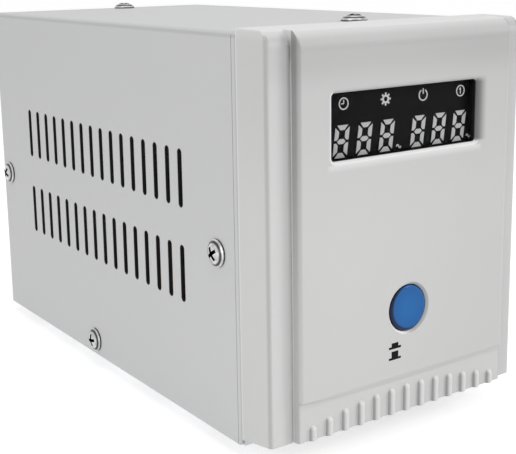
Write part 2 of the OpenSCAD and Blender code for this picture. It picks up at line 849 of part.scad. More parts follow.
module transformer_bobbin() {
  h = 1.5 * core_unit - bobbin_gap;
  color("ivory") in_case() {
    leg_tube(bobbin_gap, bobbin_gap + sheet_t, -h, h);
    leg_tube(bobbin_gap, bobbin_out, -h, -h + sheet_t);
    leg_tube(bobbin_gap, bobbin_out, h - sheet_t, h);
  }
}

module transformer_winding() {
  h = 1.5 * core_unit - 2 * bobbin_gap - sheet_t;
  color("chocolate") in_case() leg_tube(2 * bobbin_gap + sheet_t, bobbin_out - sheet_t, -h, h);
}

module transformer_strap() {
  top = sheet_t + core_h;
  side = core_w / 2;
  color("darkgray") in_case() translate([0, core_y, 0]) difference() {
    union() {
      block([-side - sheet_t, -strap_w / 2, top], [side + sheet_t, strap_w / 2, top + sheet_t]);
      for (s = [-1, 1]) {
        translate([s * (side + sheet_t / 2), 0, (top + sheet_t) / 2])
          cube([sheet_t, strap_w, top - sheet_t], center = true);
        translate([s * (side + (sheet_t + strap_foot) / 2), 0, 1.5 * sheet_t])
          cube([sheet_t + strap_foot, strap_w, sheet_t], center = true);
      }
    }
    translate([0, -core_y, 0]) bolt_places() cylinder(h = 3 * sheet_t, r = screw_hole_r);
  }
}

module bolt_places() {
  for (x = [-1, 1], y = [-1, 1]) translate([x * strap_x, core_y + y * bolt_y, 0]) children();
}

module transformer_bolts() {
  color("lightgray") in_case() bolt_places()
    rotate([180, 0, 0]) pan_screw(screw_d, 1.8 * screw_d, foot_h / 2, 5 * sheet_t + screw_d / 2);
}

module transformer_nuts() {
  color("lightgray") in_case() bolt_places() translate([0, 0, 2 * sheet_t]) difference() {
    cylinder(h = 0.75 * screw_d, r = screw_d, $fn = 6);
    translate([0, 0, -cut]) cylinder(h = screw_d + cut, r = screw_hole_r);
  }
}

module control_places() {
  for (x = [-1, 1], y = [-1, 1])
    translate([x * control_hole_x, control_y + y * control_hole_y, 0]) children();
}

module control_board() {
  color("seagreen") in_case() difference() {
    translate([0, control_y, control_z]) linear_extrude(board_t) centred([control_w, control_d], board_t);
    control_places() translate([0, 0, control_z - cut]) cylinder(h = board_t + 2 * cut, r = small_hole_r);
  }
}

module board_standoffs() {
  color("gold") in_case() control_places() translate([0, 0, sheet_t]) difference() {
    cylinder(h = standoff_h, r = standoff_r, $fn = 6);
    translate([0, 0, -cut]) cylinder(h = standoff_h + 2 * cut, r = small_hole_r);
  }
}

module control_board_screws() {
  color("lightgray") in_case() control_places()
    translate([0, 0, control_z + board_t]) small_screw(0.6 * standoff_h);
}

// Four relays in a row on the control board.
module relays() {
  pitch = relay_size[0] * 1.15;
  color("royalblue") in_case()
    for (i = [-1.5 : 1 : 1.5])
      translate([i * pitch - relay_size[0] / 2, control_y - relay_size[1], control_z + board_t])
        cube(relay_size);
}

// Three upright capacitors, each a little smaller than the last.
module capacitors() {
  color("midnightblue") in_case()
    for (i = [0 : 2])
      translate([capacitor_r * (1.5 + 2.4 * i) - control_w / 2, control_y + 2.2 * capacitor_r, control_z + board_t])
        cylinder(h = capacitor_h * (1 - i / 8), r = capacitor_r * (1 - i / 8));
}

// Finned heat sink beside the capacitors.
module heat_sink() {
  fin = sheet_t;
  step = (sink_size[0] - fin) / 5;
  x = control_w / 2 - sink_size[0];
  color("silver") in_case() translate([x, control_y + relay_size[1] / 2, control_z + board_t]) {
    cube([sink_size[0], 2 * fin, sink_size[2]]);
    for (i = [0 : 5]) translate([i * step, 0, 0]) cube([fin, sink_size[1], sink_size[2]]);
  }
}

module controller_chip() {
  color("black") in_case() translate([chip_size[0] / 3, control_y + chip_size[0], control_z + board_t])
    cube(chip_size);
}

// Row of six blade terminals at the front edge of the control board.
module spade_terminals() {
  color("gold") in_case()
    for (i = [-2.5 : 1 : 2.5])
      translate([i * blade_pitch - blade_size[0] / 2, control_in + board_hole_in / 2, control_z + board_t])
        cube(blade_size);
}

module socket_screw_places() {
  place = socket_w / 2 - 1.5 * small_d;
  for (s = [-1, 1]) translate([socket_x + s * place, 0, socket_z + s * place]) children();
}

module output_socket() {
  outer = rear_face + socket_plate_t;
  color("whitesmoke") in_case() difference() {
    union() {
      translate([socket_x, 0, socket_z]) along_y(rear_face, outer) centred([socket_w, socket_w], socket_plate_t);
      rod_y(socket_x, socket_z, socket_body_r, socket_back, outer - socket_plate_t / 2);
    }
    rod_y(socket_x, socket_z, recess_r, socket_floor, outer + cut);
    for (s = [-1, 1]) {
      rod_y(socket_x + s * pin_pitch / 2, socket_z, pin_hole_r, socket_back, outer);
      rod_y(socket_x + s * pin_pitch / 2, socket_z, contact_r + thread_gap,
        socket_back - cut, socket_floor - pin_wall);
    }
    rod_y(socket_x, socket_z + earth_up, earth_root_r + thread_gap, socket_floor - pin_wall, outer);
    socket_screw_places() rod_y(0, 0, small_hole_r, rear_face - cut, outer + cut);
  }
}

// Earth pin with its thicker root in the recess floor and a round tip.
module earth_pin() {
  tip = socket_floor + earth_l - earth_r;
  color("gold") in_case() {
    rod_y(socket_x, socket_z + earth_up, earth_root_r, socket_floor - pin_wall, socket_floor);
    rod_y(socket_x, socket_z + earth_up, earth_r, socket_floor, tip);
    translate([socket_x, tip, socket_z + earth_up]) sphere(earth_r);
  }
}

module socket_contacts() {
  back = socket_floor - pin_wall - contact_l;
  color("gold") in_case() for (s = [-1, 1]) difference() {
    rod_y(socket_x + s * pin_pitch / 2, socket_z, contact_r, back, socket_floor - pin_wall);
    rod_y(socket_x + s * pin_pitch / 2, socket_z, contact_bore_r, back + cover_t, socket_floor);
  }
}

module socket_screws() {
  color("lightgray") in_case() socket_screw_places()
    translate([0, rear_face + socket_plate_t, 0]) rotate([-90, 0, 0]) small_screw(socket_plate_t + 3 * sheet_t);
}

module switch_frame() {
  cavity_w = rocker_w + 2 * run_gap;
  color("black") in_case() translate([-column_x, 0, rocker_z]) difference() {
    union() {
      along_y(rear_face, rear_face + rocker_flange[2])
        centred([rocker_flange[0], rocker_flange[1]], rocker_flange[2] / 2);
      along_y(rear_face - rocker_body[2], rear_face + rocker_flange[2] / 2)
        centred([rocker_body[0], rocker_body[1]], rocker_flange[2] / 4);
    }
    rod_x(rocker_y, 0, rocker_r + run_gap, cavity_w);
    rod_x(rocker_y, 0, trunnion_r + run_gap, cavity_w + 2 * (trunnion_l + run_gap));
  }
}

// Rocker with a shallow valley across its face, tilted to its off side.
module rocker_key() {
  rise = rear_face + rocker_flange[2] + run_gap - rocker_y;
  reach = 2 * rocker_r;
  end = rise + reach * tan(rocker_tilt);
  color("dimgray") in_case() translate([-column_x, rocker_y, rocker_z]) rotate([-rocker_tilt, 0, 0]) {
    intersection() {
      rod_x(0, 0, rocker_r, rocker_w);
      along_x(rocker_w) polygon([
        [-rocker_r / 3, -reach], [-rocker_r / 3, reach], [end, reach], [rise, 0], [end, -reach]
      ]);
    }
    rod_x(0, 0, trunnion_r, rocker_w + 2 * (trunnion_l + run_gap / 2));
  }
}

module switch_terminals() {
  y = rear_face - rocker_body[2];
  color("gold") in_case() for (s = [-1, 1])
    translate([-column_x, y - rocker_body[2] / 4, rocker_z + s * rocker_body[1] / 4])
      cube([board_hole_in, rocker_body[2] / 2, board_t / 2], center = true);
}

module breaker_body() {
  inner_r = breaker_button_r + run_gap;
  color("black") in_case() difference() {
    union() {
      rod_y(-column_x, breaker_z, breaker_r, rear_in - sheet_t, rear_face + breaker_out / 2);
      translate([-column_x, 0, breaker_z]) along_y(rear_in - breaker_l, rear_in)
        centred([3 * breaker_r, 2.6 * breaker_r], breaker_r / 5);
    }
    rod_y(-column_x, breaker_z, inner_r, rear_face - 2 * breaker_out, rear_face + breaker_out);
  }
}

module breaker_nut() {
  color("lightgray") in_case() translate([-column_x, rear_face, breaker_z]) rotate([-90, 0, 0]) difference() {
    cylinder(h = breaker_out / 3, r = 1.6 * breaker_r, $fn = 6);
    translate([0, 0, -cut]) cylinder(h = breaker_out, r = breaker_r + thread_gap);
  }
}

module breaker_button() {
  color("firebrick") in_case()
    rod_y(-column_x, breaker_z, breaker_button_r, rear_face - breaker_out, rear_face + 0.8 * breaker_out);
}

module cord_inlet() {
  color("black") in_case() difference() {
    union() {
      rod_y(-column_x, inlet_z, inlet_r, rear_in - 2 * inlet_r, rear_face + inlet_out / 2);
      rod_y(-column_x, inlet_z, 1.5 * inlet_r, rear_face, rear_face + inlet_out / 3);
      translate([-column_x, rear_face + inlet_out, inlet_z]) rotate([90, 0, 0])
        cylinder(h = 2 * inlet_out / 3, r1 = inlet_r, r2 = 1.3 * inlet_r);
    }
    rod_y(-column_x, inlet_z, cord_r, rear_in - 2 * inlet_r - cut, rear_face + inlet_out + cut);
  }
}

module inlet_nut() {
  color("black") in_case() translate([-column_x, rear_in, inlet_z]) rotate([90, 0, 0]) difference() {
    cylinder(h = inlet_r, r = nut_r, $fn = 6);
    translate([0, 0, -cut]) cylinder(h = inlet_r + 2 * cut, r = inlet_r + thread_gap);
  }
}

top_cover();
base_chassis();
front_frame();
rear_panel();
rear_frame();
cover_screws();
frame_screws();
front_bezel();
bezel_screws();
display_window();
display_block();
front_board();
front_board_screws();
board_connector();
delay_button();
delay_plunger();
delay_spring();
delay_switch_housing();
rubber_feet();
foot_screws();
transformer_core();
transformer_bobbin();
transformer_winding();
transformer_strap();
transformer_bolts();
transformer_nuts();
control_board();
board_standoffs();
control_board_screws();
relays();
capacitors();
heat_sink();
controller_chip();
spade_terminals();
output_socket();
earth_pin();
socket_contacts();
socket_screws();
switch_frame();
rocker_key();
switch_terminals();
breaker_body();
breaker_nut();
breaker_button();
cord_inlet();
inlet_nut();
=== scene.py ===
# %% [markdown]
# # A desktop voltage stabilizer in Blender
#
# This lesson dresses a ready-made model: a folded steel case with a moulded plastic front, a display behind
# a dark window, a round blue button and a row of fittings on the back. The shapes come from the packed
# model, which is loaded as a fixed frame in metres. What is added here is what a camera sees: paint, plating,
# moulded grain, printed marks and the light. Each step first says what the real piece is and why it is made
# this way.

# %% Load the frame
import math
from collections import namedtuple

import bmesh
import bpy
from mathutils import Matrix, Vector


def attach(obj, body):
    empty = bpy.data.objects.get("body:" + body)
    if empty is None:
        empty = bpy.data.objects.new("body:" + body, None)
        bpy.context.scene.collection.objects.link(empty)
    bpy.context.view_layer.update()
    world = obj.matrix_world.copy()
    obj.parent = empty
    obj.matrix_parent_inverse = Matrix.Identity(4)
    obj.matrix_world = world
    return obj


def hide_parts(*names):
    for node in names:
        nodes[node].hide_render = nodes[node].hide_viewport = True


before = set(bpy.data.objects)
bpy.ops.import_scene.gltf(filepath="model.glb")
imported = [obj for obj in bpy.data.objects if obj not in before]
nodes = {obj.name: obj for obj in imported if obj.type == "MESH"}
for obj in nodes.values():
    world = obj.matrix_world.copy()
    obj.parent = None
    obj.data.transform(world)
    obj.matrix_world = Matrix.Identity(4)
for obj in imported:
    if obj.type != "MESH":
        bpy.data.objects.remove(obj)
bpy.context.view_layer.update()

# %% [markdown]
# ## Where things are
#
# The case is measured from its own seam: x from the middle plane, y from the front edge of the steel to the
# rear, z from the floor sheet. One small function turns these millimetres into the frame's metres, so every
# printed mark can be placed with the numbers a drawing would give.

# %% Places in the case
mm = 0.001
case_width, case_height, case_length = 110.0, 138.0, 201.0
seam_y, foot_height = -93.85, 4.5
panel_y = -21.0


def spot(x, y, z):
    """A point given in millimetres from the middle, the seam and the case floor."""
    return Vector((x, y + seam_y, z + foot_height)) * mm


print("panel face at y =", round(spot(0, panel_y, 0).y, 5))

# %% [markdown]
# ## The camera
#
# The picture is a three-quarter view from the left front, a little above the case. The viewpoint was found
# by fitting the corners of the case. A small vertical shift of the lens lets the camera tilt less, so the
# upright edges stay nearly parallel, as a product photographer would have them.

# %% Camera
picture_width_px, focal_px, drop_px = 516.0, 1066.0, 46.0
turn, tilt, roll = math.radians(34.70), math.radians(11.62), math.radians(-0.87)
viewpoint = Vector((-0.2387, -0.37055, 0.1636))
forward = Vector((math.sin(turn) * math.cos(tilt), math.cos(turn) * math.cos(tilt), -math.sin(tilt)))
level_right = Vector((math.cos(turn), -math.sin(turn), 0.0))
level_up = level_right.cross(forward)
right = level_right * math.cos(roll) + level_up * math.sin(roll)
up = level_up * math.cos(roll) - level_right * math.sin(roll)

camera_data = bpy.data.cameras.new("view_camera")
camera_data.sensor_width = 36.0
camera_data.lens = focal_px / picture_width_px * camera_data.sensor_width
camera_data.shift_y = -drop_px / picture_width_px
camera_data.clip_start = 0.01
camera = bpy.data.objects.new("view_camera", camera_data)
camera_axes = Matrix((right, up, -forward)).transposed().to_4x4()
camera.matrix_world = Matrix.Translation(viewpoint) @ camera_axes
bpy.context.scene.collection.objects.link(camera)
bpy.context.scene.camera = camera
print("lens", round(camera_data.lens, 1), "mm")

# %% [markdown]
# ## Shader maths in plain Python
#
# A finish is a small sum: some noise, a mask, a mix of two colours. Written as nodes by hand that takes a
# screen of wires, so one class wraps a socket and lets Python's own operators add the Math nodes. The recipe
# class holds a material and its Principled shader, and one of its methods adds every other kind of node.


# %% Values
class Value:
    """An output socket that can be used in sums."""

    def __init__(self, recipe, socket):
        self.recipe, self.socket = recipe, socket

    def sum(self, operation, first, second):
        """One Math node."""
        return self.recipe.add("Math", {"operation": operation}, {0: first, 1: second})

    def __add__(self, other):
        return self.sum("ADD", self, other)

    def __sub__(self, other):
        return self.sum("SUBTRACT", self, other)

    def __rsub__(self, other):
        return self.sum("SUBTRACT", other, self)

    def __mul__(self, other):
        return self.sum("MULTIPLY", self, other)

    def __truediv__(self, other):
        return self.sum("DIVIDE", self, other)

    __radd__ = __add__
    __rmul__ = __mul__


print("values ready")

# %% Recipes
CasePlace = namedtuple("CasePlace", "x y z side")


class Recipe:
    """A material, its Principled shader and the nodes added to it."""

    def __init__(self, name, **constants):
        self.material = bpy.data.materials.new(name)
        self.material.use_nodes = True
        self.tree = self.material.node_tree
        self.shader = next(n for n in self.tree.nodes if n.type == "BSDF_PRINCIPLED")
        for socket, value in constants.items():
            self.shader.inputs[socket.replace("_", " ")].default_value = value

    def add(self, kind, settings=None, inputs=None, output=0):
        """Adds one node: its settings first, then the values or links of its sockets."""
        node = self.tree.nodes.new("ShaderNode" + kind)
        for key, value in (settings or {}).items():
            setattr(node, key, value)
        for key, value in (inputs or {}).items():
            if isinstance(value, Value):
                self.tree.links.new(value.socket, node.inputs[key])
            else:
                node.inputs[key].default_value = value
        return Value(self, node.outputs[output])

    def feed(self, socket, value):
        """Links a value to a socket of the shader."""
        self.tree.links.new(value.socket, self.shader.inputs[socket])

    def place(self):
        """Coordinates in metres, fixed to the object."""
        return self.add("TexCoord", output="Object")

    def case_place(self):
        """The place in the case's own millimetres, with side as the distance from the middle plane."""
        x, y, z = (self.add("SeparateXYZ", None, {0: self.place()}, output=axis) for axis in "XYZ")
        x, y, z = x / mm, y / mm - seam_y, z / mm - foot_height
        return CasePlace(x, y, z, self.size_of(x))

    def vector(self, operation, first, second=(0.0, 0.0, 0.0), output="Vector"):
        """One Vector Math node. LENGTH and DISTANCE give a number, at the output Value."""
        return self.add("VectorMath", {"operation": operation}, {0: first, 1: second}, output)

    def noise(self, scale, detail=2.0, roughness=0.5, where=None):
        """A noise from 0 to 1 with about this many bumps to the metre."""
        inputs = {"Vector": where or self.place(), "Scale": scale, "Detail": detail, "Roughness": roughness}
        return self.add("TexNoise", None, inputs)

    def rise(self, value, low, high):
        """0 below low, 1 above high, smooth between them."""
        inputs = {0: value, 1: low, 2: high, 3: 0.0, 4: 1.0}
        return self.add("MapRange", {"interpolation_type": "SMOOTHSTEP"}, inputs)

    def band(self, value, low, full, fading, high):
        """1 between full and fading, 0 below low and above high, smooth between them."""
        return self.rise(value, low, full) * (1 - self.rise(value, fading, high))

    def size_of(self, value):
        """The value without its sign."""
        return self.add("Math", {"operation": "ABSOLUTE"}, {0: value})

    def larger(self, first, second):
        """The larger of two values."""
        return self.add("Math", {"operation": "MAXIMUM"}, {0: first, 1: second})

    def mix(self, share, first, second):
        """The first colour where the share is 0, the second where it is 1."""
        return self.add("Mix", {"data_type": "RGBA"}, {0: share, 6: first, 7: second}, output=2)

    def bump(self, height, distance, strength):
        """Feeds a height in metres to the shader's Normal."""
        inputs = {"Height": height, "Distance": distance, "Strength": strength}
        self.feed("Normal", self.add("Bump", None, inputs))


print("recipes ready")


# %% Neutral colours
def shade(value, blue=0.0):
    """A neutral colour from one value, a little cooler where blue is above 0."""
    return (value * (1 - blue), value, min(1.0, value * (1 + blue)), 1.0)


lit, dusk = shade(0.95), shade(0.30)
print("lit", lit, "dusk", dusk)

# %% [markdown]
# ## Powder coat on the steel cover
#
# The cover is sheet steel with a light grey powder coat. Baked powder never lies quite flat: it has a low
# orange peel with bumps about a millimetre apart, its gloss drifts a little over the sheet, and it has fine
# specks. Three noises at real sizes give these. A painted picture could do the same, but noise has no seams
# at the folds.
#
# The inside of the folded cover is painted near black, a painted shade that stands for the dark inside the
# case, so the slots look black. One material shows both skins: the distance below the rounded outer box tells
# them apart. In front of the hem line the painted shade is left off, so there the paint's colour stays.
#
# Soft light washes out the seam and the upper bend, which show on the real cover as fine dark lines, so a
# painted shade line lies along each, and a faint painted shade grows towards the top. Pairs of numbers are
# the limits between which a share rises, and four numbers are the limits of a band.

# %% Inner skin
bend_radius = 2.3
skin_depth = (0.12, 0.30)
hem_y = (2.9, 3.3)


def under_skin(coat, at):
    """1 on the inside of the cover and in its slots, 0 on its outer skin and bends."""
    bend_centre = spot(case_width / 2 - bend_radius, case_length - bend_radius, case_height - bend_radius)
    beyond = coat.vector("SUBTRACT", coat.vector("ABSOLUTE", coat.place()), bend_centre)
    reach = coat.vector("LENGTH", coat.vector("MAXIMUM", beyond), output="Value") / mm
    return coat.rise(bend_radius - reach, *skin_depth) * coat.rise(at.y, *hem_y)


print("inner skin starts", skin_depth[0], "mm below the paint")

# %% Slot rims
slot_count, slot_first, slot_pitch, slot_row_pitch = 16, 36.0, 8.6, 34.3
slot_width, slot_length = 2.5, 20.4
rim_reach = (0.15, 0.35)
side_wall = (-1.5, -1.0)


def slot_rim_shade(coat, at):
    """1 in a hair round each slot in the sides, which gets the same painted shade as the inside."""
    number = (at.y - slot_first) / slot_pitch + 0.5
    across = (coat.add("Math", {"operation": "FRACT"}, {0: number}) - 0.5) * slot_pitch
    in_row = coat.band(number, 0.0, 0.05, slot_count - 0.05, slot_count)
    from_row = coat.size_of(coat.size_of(at.z - case_height / 2) - slot_row_pitch / 2)
    past_straight = coat.larger(from_row - (slot_length - slot_width) / 2, 0.0)
    to_slot = coat.add("CombineXYZ", None, {0: across, 1: past_straight})
    reach = coat.vector("LENGTH", to_slot, output="Value") - slot_width / 2
    return (1 - coat.rise(reach, *rim_reach)) * in_row * coat.rise(at.side - case_width / 2, *side_wall)


print("slots:", 2 * 2 * slot_count)

# %% Shades on the cover
seam_line_y = (0.4, 0.9)
bend_line_z = (135.7, 136.5, 136.9, 137.6)
upward_share, seam_share, bend_share = 0.16, 0.30, 0.28


def cover_shades(coat, at, paint, colour):
    """The cover's paint with painted shade: a little towards the top, and fine lines at the seam and along
    the bend.
    """
    upward = coat.rise(at.z, -foot_height, case_height) * upward_share
    paint = coat.mix(upward, paint, shade(colour * 0.45))
    at_seam = 1 - coat.rise(at.y, *seam_line_y)
    lines = at_seam * seam_share + coat.band(at.z, *bend_line_z) * bend_share
    return coat.mix(lines, paint, dusk)


print("lines at the seam and at z", bend_line_z[1])


# %% Powder coat
def powder_coat(name, colour, gloss, inside_shade=None):
    """Grey powder. Where an inside shade is given, the coat is the cover's, and its inside and slot rims get
    that near-black painted shade.
    """
    coat = Recipe(name, Specular_IOR_Level=0.2)
    peel = coat.noise(1100.0, detail=3.0)
    drift = coat.noise(14.0, detail=2.0)
    speck = coat.noise(5200.0, detail=1.0)
    tone = drift * 0.6 + speck * 0.4
    paint = coat.mix(tone, shade(colour * 0.965, 0.004), shade(colour * 1.03, 0.002))
    if inside_shade:
        at = coat.case_place()
        # The inside of the cover and a hair round each slot get a near-black painted shade.
        inside_shade_share = coat.larger(under_skin(coat, at), slot_rim_shade(coat, at))
        shaded_inside = coat.mix(tone, shade(inside_shade), shade(inside_shade * 1.2))
        paint = coat.mix(inside_shade_share, cover_shades(coat, at, paint, colour), shaded_inside)
    coat.feed("Base Color", paint)
    coat.feed("Roughness", drift * 0.10 + (gloss - 0.05) + speck * 0.04)
    coat.bump(peel, 0.04 * mm, 0.35)
    return coat.material


# The 0.02 is the near-black painted shade inside the cover and round its slots.
cover_paint = powder_coat("light_grey_powder_coat", 0.71, 0.55, inside_shade=0.02)
rear_paint = powder_coat("rear_panel_powder_coat", 0.58, 0.55)
print("powder coats:", cover_paint.name, rear_paint.name)

# %% [markdown]
# ## Moulded plastic
#
# Moulds for housings are often spark-eroded, which leaves an even, very fine grain, so the plastic looks
# matt. One recipe makes every moulding, with its own colour, gloss and grain: nylon, the socket's hard
# plastic, the black and red parts and the relays' cans.


# %% Moulded plastics
def plastic_recipe(name, colour, gloss, grain=4200.0, depth=0.03, specular=0.4):
    """The recipe of a moulding and its tone, which isn't linked yet. The grain's depth is in millimetres."""
    plastic = Recipe(name, Specular_IOR_Level=specular)
    fine = plastic.noise(grain, detail=2.0)
    broad = plastic.noise(22.0, detail=2.0)
    dark = tuple(c * 0.955 for c in colour) + (1.0,)
    light = tuple(min(1.0, c * 1.035) for c in colour) + (1.0,)
    plastic.feed("Roughness", broad * 0.08 + fine * 0.06 + (gloss - 0.07))
    plastic.bump(fine, depth * mm, 0.4)
    return plastic, plastic.mix(fine * 0.45 + broad * 0.55, dark, light)


def moulding(name, colour, gloss, **more):
    """A plain moulding's material."""
    plastic, tone = plastic_recipe(name, colour, gloss, **more)
    plastic.feed("Base Color", tone)
    return plastic.material


nylon = moulding("natural_nylon", (0.78, 0.77, 0.72), 0.40, grain=2500.0)
socket_plastic = moulding("white_socket_plastic", (0.74, 0.74, 0.73), 0.22, grain=1500.0, depth=0.01)
black_plastic = moulding("black_moulded_plastic", (0.022, 0.022, 0.024), 0.42, specular=0.5)
red_plastic = moulding("red_switch_plastic", (0.42, 0.018, 0.014), 0.28, grain=1800.0, depth=0.01)
relay_plastic = moulding("blue_relay_can", (0.03, 0.12, 0.42), 0.34, grain=2600.0)
print("mouldings: 5")

# %% [markdown]
# ## The moulded front
#
# The front is one light grey moulding: a proud panel under a rounded brow, a strip on each side, and an
# apron with a row of ribs. Soft light from all sides nearly hides such low forms, though the eye finds them
# on the real piece by their faint shading. So the recipe lays thin layers of painted light and painted shade
# over the plastic's own tone. A layer is a pair, a share from 0 to 1 and the tone it mixes in, and each is
# held to one form by limits in millimetres: heights from the floor sheet, depths behind a face and reaches
# past an edge. A painted picture could do this too, but would need a flat layout of the whole front.

# %% Places and tones on the front
panel_half, strip_y, apron_y = 46.2, -17.0, -19.9
window_x, window_z = -1.2, 108.0
lens_half_width, lens_half_height = 31.7, 10.7
button_z, rib_pitch = 43.0, 6.8
# Tones of painted light and shade for the front's layers, and the black of the pocket.
strip_shade, ring_shade, rib_lit = shade(0.42), shade(0.50), shade(0.93)
step_dark, rib_dark, bevel_dark, pocket_black = shade(0.08), shade(0.22), shade(0.02), shade(0.008)
print("panel", 2 * panel_half, "mm wide, ribs", rib_pitch, "mm apart")

# %% Brow
face_z = (70.0, 125.0)
under_brow_z = (118.0, 130.0)
brow_edge_z = (131.5, 134.2)
brow_fade_z = (134.8, 138.4)
roof_z = (138.3, 138.6)
roof_ends = (54.6, 54.9)
face_x = (-30.0, 46.0)
face_share, under_brow_share, brow_edge_share = 0.14, 0.21, 0.08
rightward_share, roof_share = 0.15, 0.27


def brow_layers(front, at):
    """Painted shade on the face, deeper up to the brow's rounded edge and to the right, and painted light on
    the roof.
    """
    inner = 1 - front.rise(at.side, *roof_ends)
    under_brow = front.rise(at.z, *under_brow_z) * under_brow_share
    under_brow = (under_brow + front.rise(at.z, *brow_edge_z) * brow_edge_share) * inner
    dark = (front.rise(at.z, *face_z) * face_share + under_brow) * (1 - front.rise(at.z, *brow_fade_z))
    dark = dark + front.rise(at.x, *face_x) * rightward_share
    return [(dark, dusk), (front.rise(at.z, *roof_z) * inner * roof_share, lit)]


print("brow from z", under_brow_z[0], "to", roof_z[1])

# %% Strips, apron and outer edges
strip_reach = (0.6, 1.3)
strip_depth = (0.2, 1.0)
apron_z = (17.0, 17.6)
apron_reach = (-0.4, -0.1)
outer_wall = (-1.2, -1.0)
seam_edge_y = (-0.9, -0.4)
corner_depth = (0.0, 0.6, 1.2, 2.6)
right_border = (0.2, 0.4, 0.4, 3.4)
strip_share, apron_share, right_strip_share = 0.22, 0.12, 0.16
seam_edge_share, corner_share, right_border_share = 0.35, 0.42, 0.3


def strip_layers(front, at):
    """Painted light on the strips, the apron and the panel's right border, painted shade on the right strip,
    a painted highlight line at the seam and a painted shade line at the corner.
    """
    strips = front.rise(at.side - panel_half, *strip_reach) * (1 - front.rise(at.y - strip_y, *strip_depth))
    apron = (1 - front.rise(at.z, *apron_z)) * (1 - front.rise(at.side - panel_half, *apron_reach))
    outer = front.rise(at.side - case_width / 2, *outer_wall)
    return [
        (strips * strip_share + apron * apron_share, lit),
        (front.rise(at.x - panel_half, *strip_reach) * right_strip_share, strip_shade),
        (outer * front.rise(at.y, *seam_edge_y) * seam_edge_share, lit),
        (outer * front.band(at.y - strip_y, *corner_depth) * corner_share, dusk),
        (front.band(at.x - panel_half, *right_border) * right_border_share, lit),
    ]


print("strips", round(case_width / 2 - panel_half, 1), "mm wide")

# %% Steps beside the panel
panel_depth = (0.4, 1.8)
wall_end = (-0.4, -0.1)
border_depth = (0.1, 0.3)
step_wall = (-0.4, -0.1, 0.1, 0.4)
strip_border = (0.4, 0.6, 0.8, 2.0)
panel_rim = (-1.4, -0.1)
lit_line = (-0.1, 0.0, 0.5, 0.6)
lit_line_end_z = (127.0, 132.0)
step_z = (30.0, 130.0)
middle_x = (-1.0, 1.0)
border_share, rim_share, lit_line_share = 0.5, 0.6, 0.5
low_share, higher_share = 0.26, 0.30


def step_layers(front, at):
    """Painted shade on the step walls and beside the left one, deeper towards the top, and a fine painted
    highlight line.
    """
    from_edge, from_strip = at.side - panel_half, at.y - strip_y
    behind, at_strip = front.rise(at.y - panel_y, *panel_depth), front.rise(from_strip, *wall_end)
    wall = front.band(from_edge, *step_wall) * behind * (1 - at_strip)
    border = front.band(from_edge, *strip_border) * (1 - front.rise(from_strip, *border_depth))
    beside = border * border_share + front.rise(from_edge, *panel_rim) * (1 - behind) * rim_share
    on_left = 1 - front.rise(at.x, *middle_x)
    upper = front.rise(at.z, *step_z) * higher_share + low_share
    line = at_strip * front.band(from_edge, *lit_line) * (1 - front.rise(at.z, *lit_line_end_z))
    return [((wall + beside * on_left) * upper, step_dark), (line * lit_line_share, lit)]


print("steps", strip_y - panel_y, "mm deep")

# %% Ribs
rib_depth = (-0.4, -0.1)
rib_top_z = (17.0, 17.4)
flank_reach = (-1.3, -0.6)
facing_reach = (-0.7, 0.2)
flank_share, facing_share = 0.7, 0.5


def rib_layers(front, at):
    """The left flank of each rib lies in shade, and the side that faces the light is bright."""
    place = front.add("Math", {"operation": "FRACT"}, {0: at.x / rib_pitch + 0.5})
    from_rib = (place - 0.5) * rib_pitch
    ribs = (1 - front.rise(at.y - apron_y, *rib_depth)) * (1 - front.rise(at.z, *rib_top_z))
    flank = (1 - front.rise(from_rib, *flank_reach)) * ribs
    facing = front.rise(from_rib, *facing_reach) * ribs
    return [(flank * flank_share, rib_dark), (facing * facing_share, rib_lit)]


print("rib shading up to z", rib_top_z[1])

# %% Window rim
opening_half_width, opening_half_height = 33.3, 12.3
opening_edge = (0.2, 0.5)
sunk_depth = (0.05, 0.2)
pocket_depth = (1.1, 1.4)
low_bevel_z = (97.3, 97.6)
left_bevel_x = (-33.0, -32.8)
below_z = (93.6, 95.6, 96.0, 96.4)
below_ends = (32.5, 34.5)
right_bevel_x = (30.2, 30.5, 30.6, 35.6)
right_bevel_z = (97.0, 98.4, 117.6, 120.2)
low_bevel_share, below_share, right_bevel_share = 0.8, 0.4, 0.72


def window_layers(front, at):
    """Painted light on the lower and left bevels and a band below them, painted shade on the right bevel, and
    the pocket black.
    """
    across, upward = front.size_of(at.x - window_x), front.size_of(at.z - window_z)
    opening = 1 - front.rise(across - opening_half_width, *opening_edge)
    opening = opening * (1 - front.rise(upward - opening_half_height, *opening_edge))
    low = (1 - front.rise(at.z, *low_bevel_z)) * low_bevel_share
    bevels = front.larger(low, 1 - front.rise(at.x, *left_bevel_x)) * opening
    bevels = bevels * front.rise(at.y - panel_y, *sunk_depth)
    below = front.band(at.z, *below_z) * (1 - front.rise(across, *below_ends)) * below_share
    right_bevel = front.band(at.x, *right_bevel_x) * front.band(at.z, *right_bevel_z)
    pocket = opening * front.rise(at.y - panel_y, *pocket_depth)
    return [
        (front.larger(bevels, below), lit),
        (right_bevel * right_bevel_share, bevel_dark),
        (pocket, pocket_black),
    ]


print("window", 2 * opening_half_width, "x", 2 * opening_half_height, "mm")

# %% Ring round the button
ring_reach, ring_turn_x = (8.1, 8.2, 9.1, 9.4), (-3.0, 3.0)


def ring_layers(front, at):
    """Painted light on the sunk ring's left half and painted shade on its right half."""
    to_axis = front.add("CombineXYZ", None, {0: at.x, 2: at.z - button_z})
    ring_share = front.band(front.vector("LENGTH", to_axis, output="Value"), *ring_reach)
    to_left = 1 - front.rise(at.x, *ring_turn_x)
    on_ring = ring_share * front.rise(at.y - panel_y, *sunk_depth)
    return [(on_ring, front.mix(to_left, ring_shade, lit))]


print("ring from r", ring_reach[0], "to", ring_reach[3])


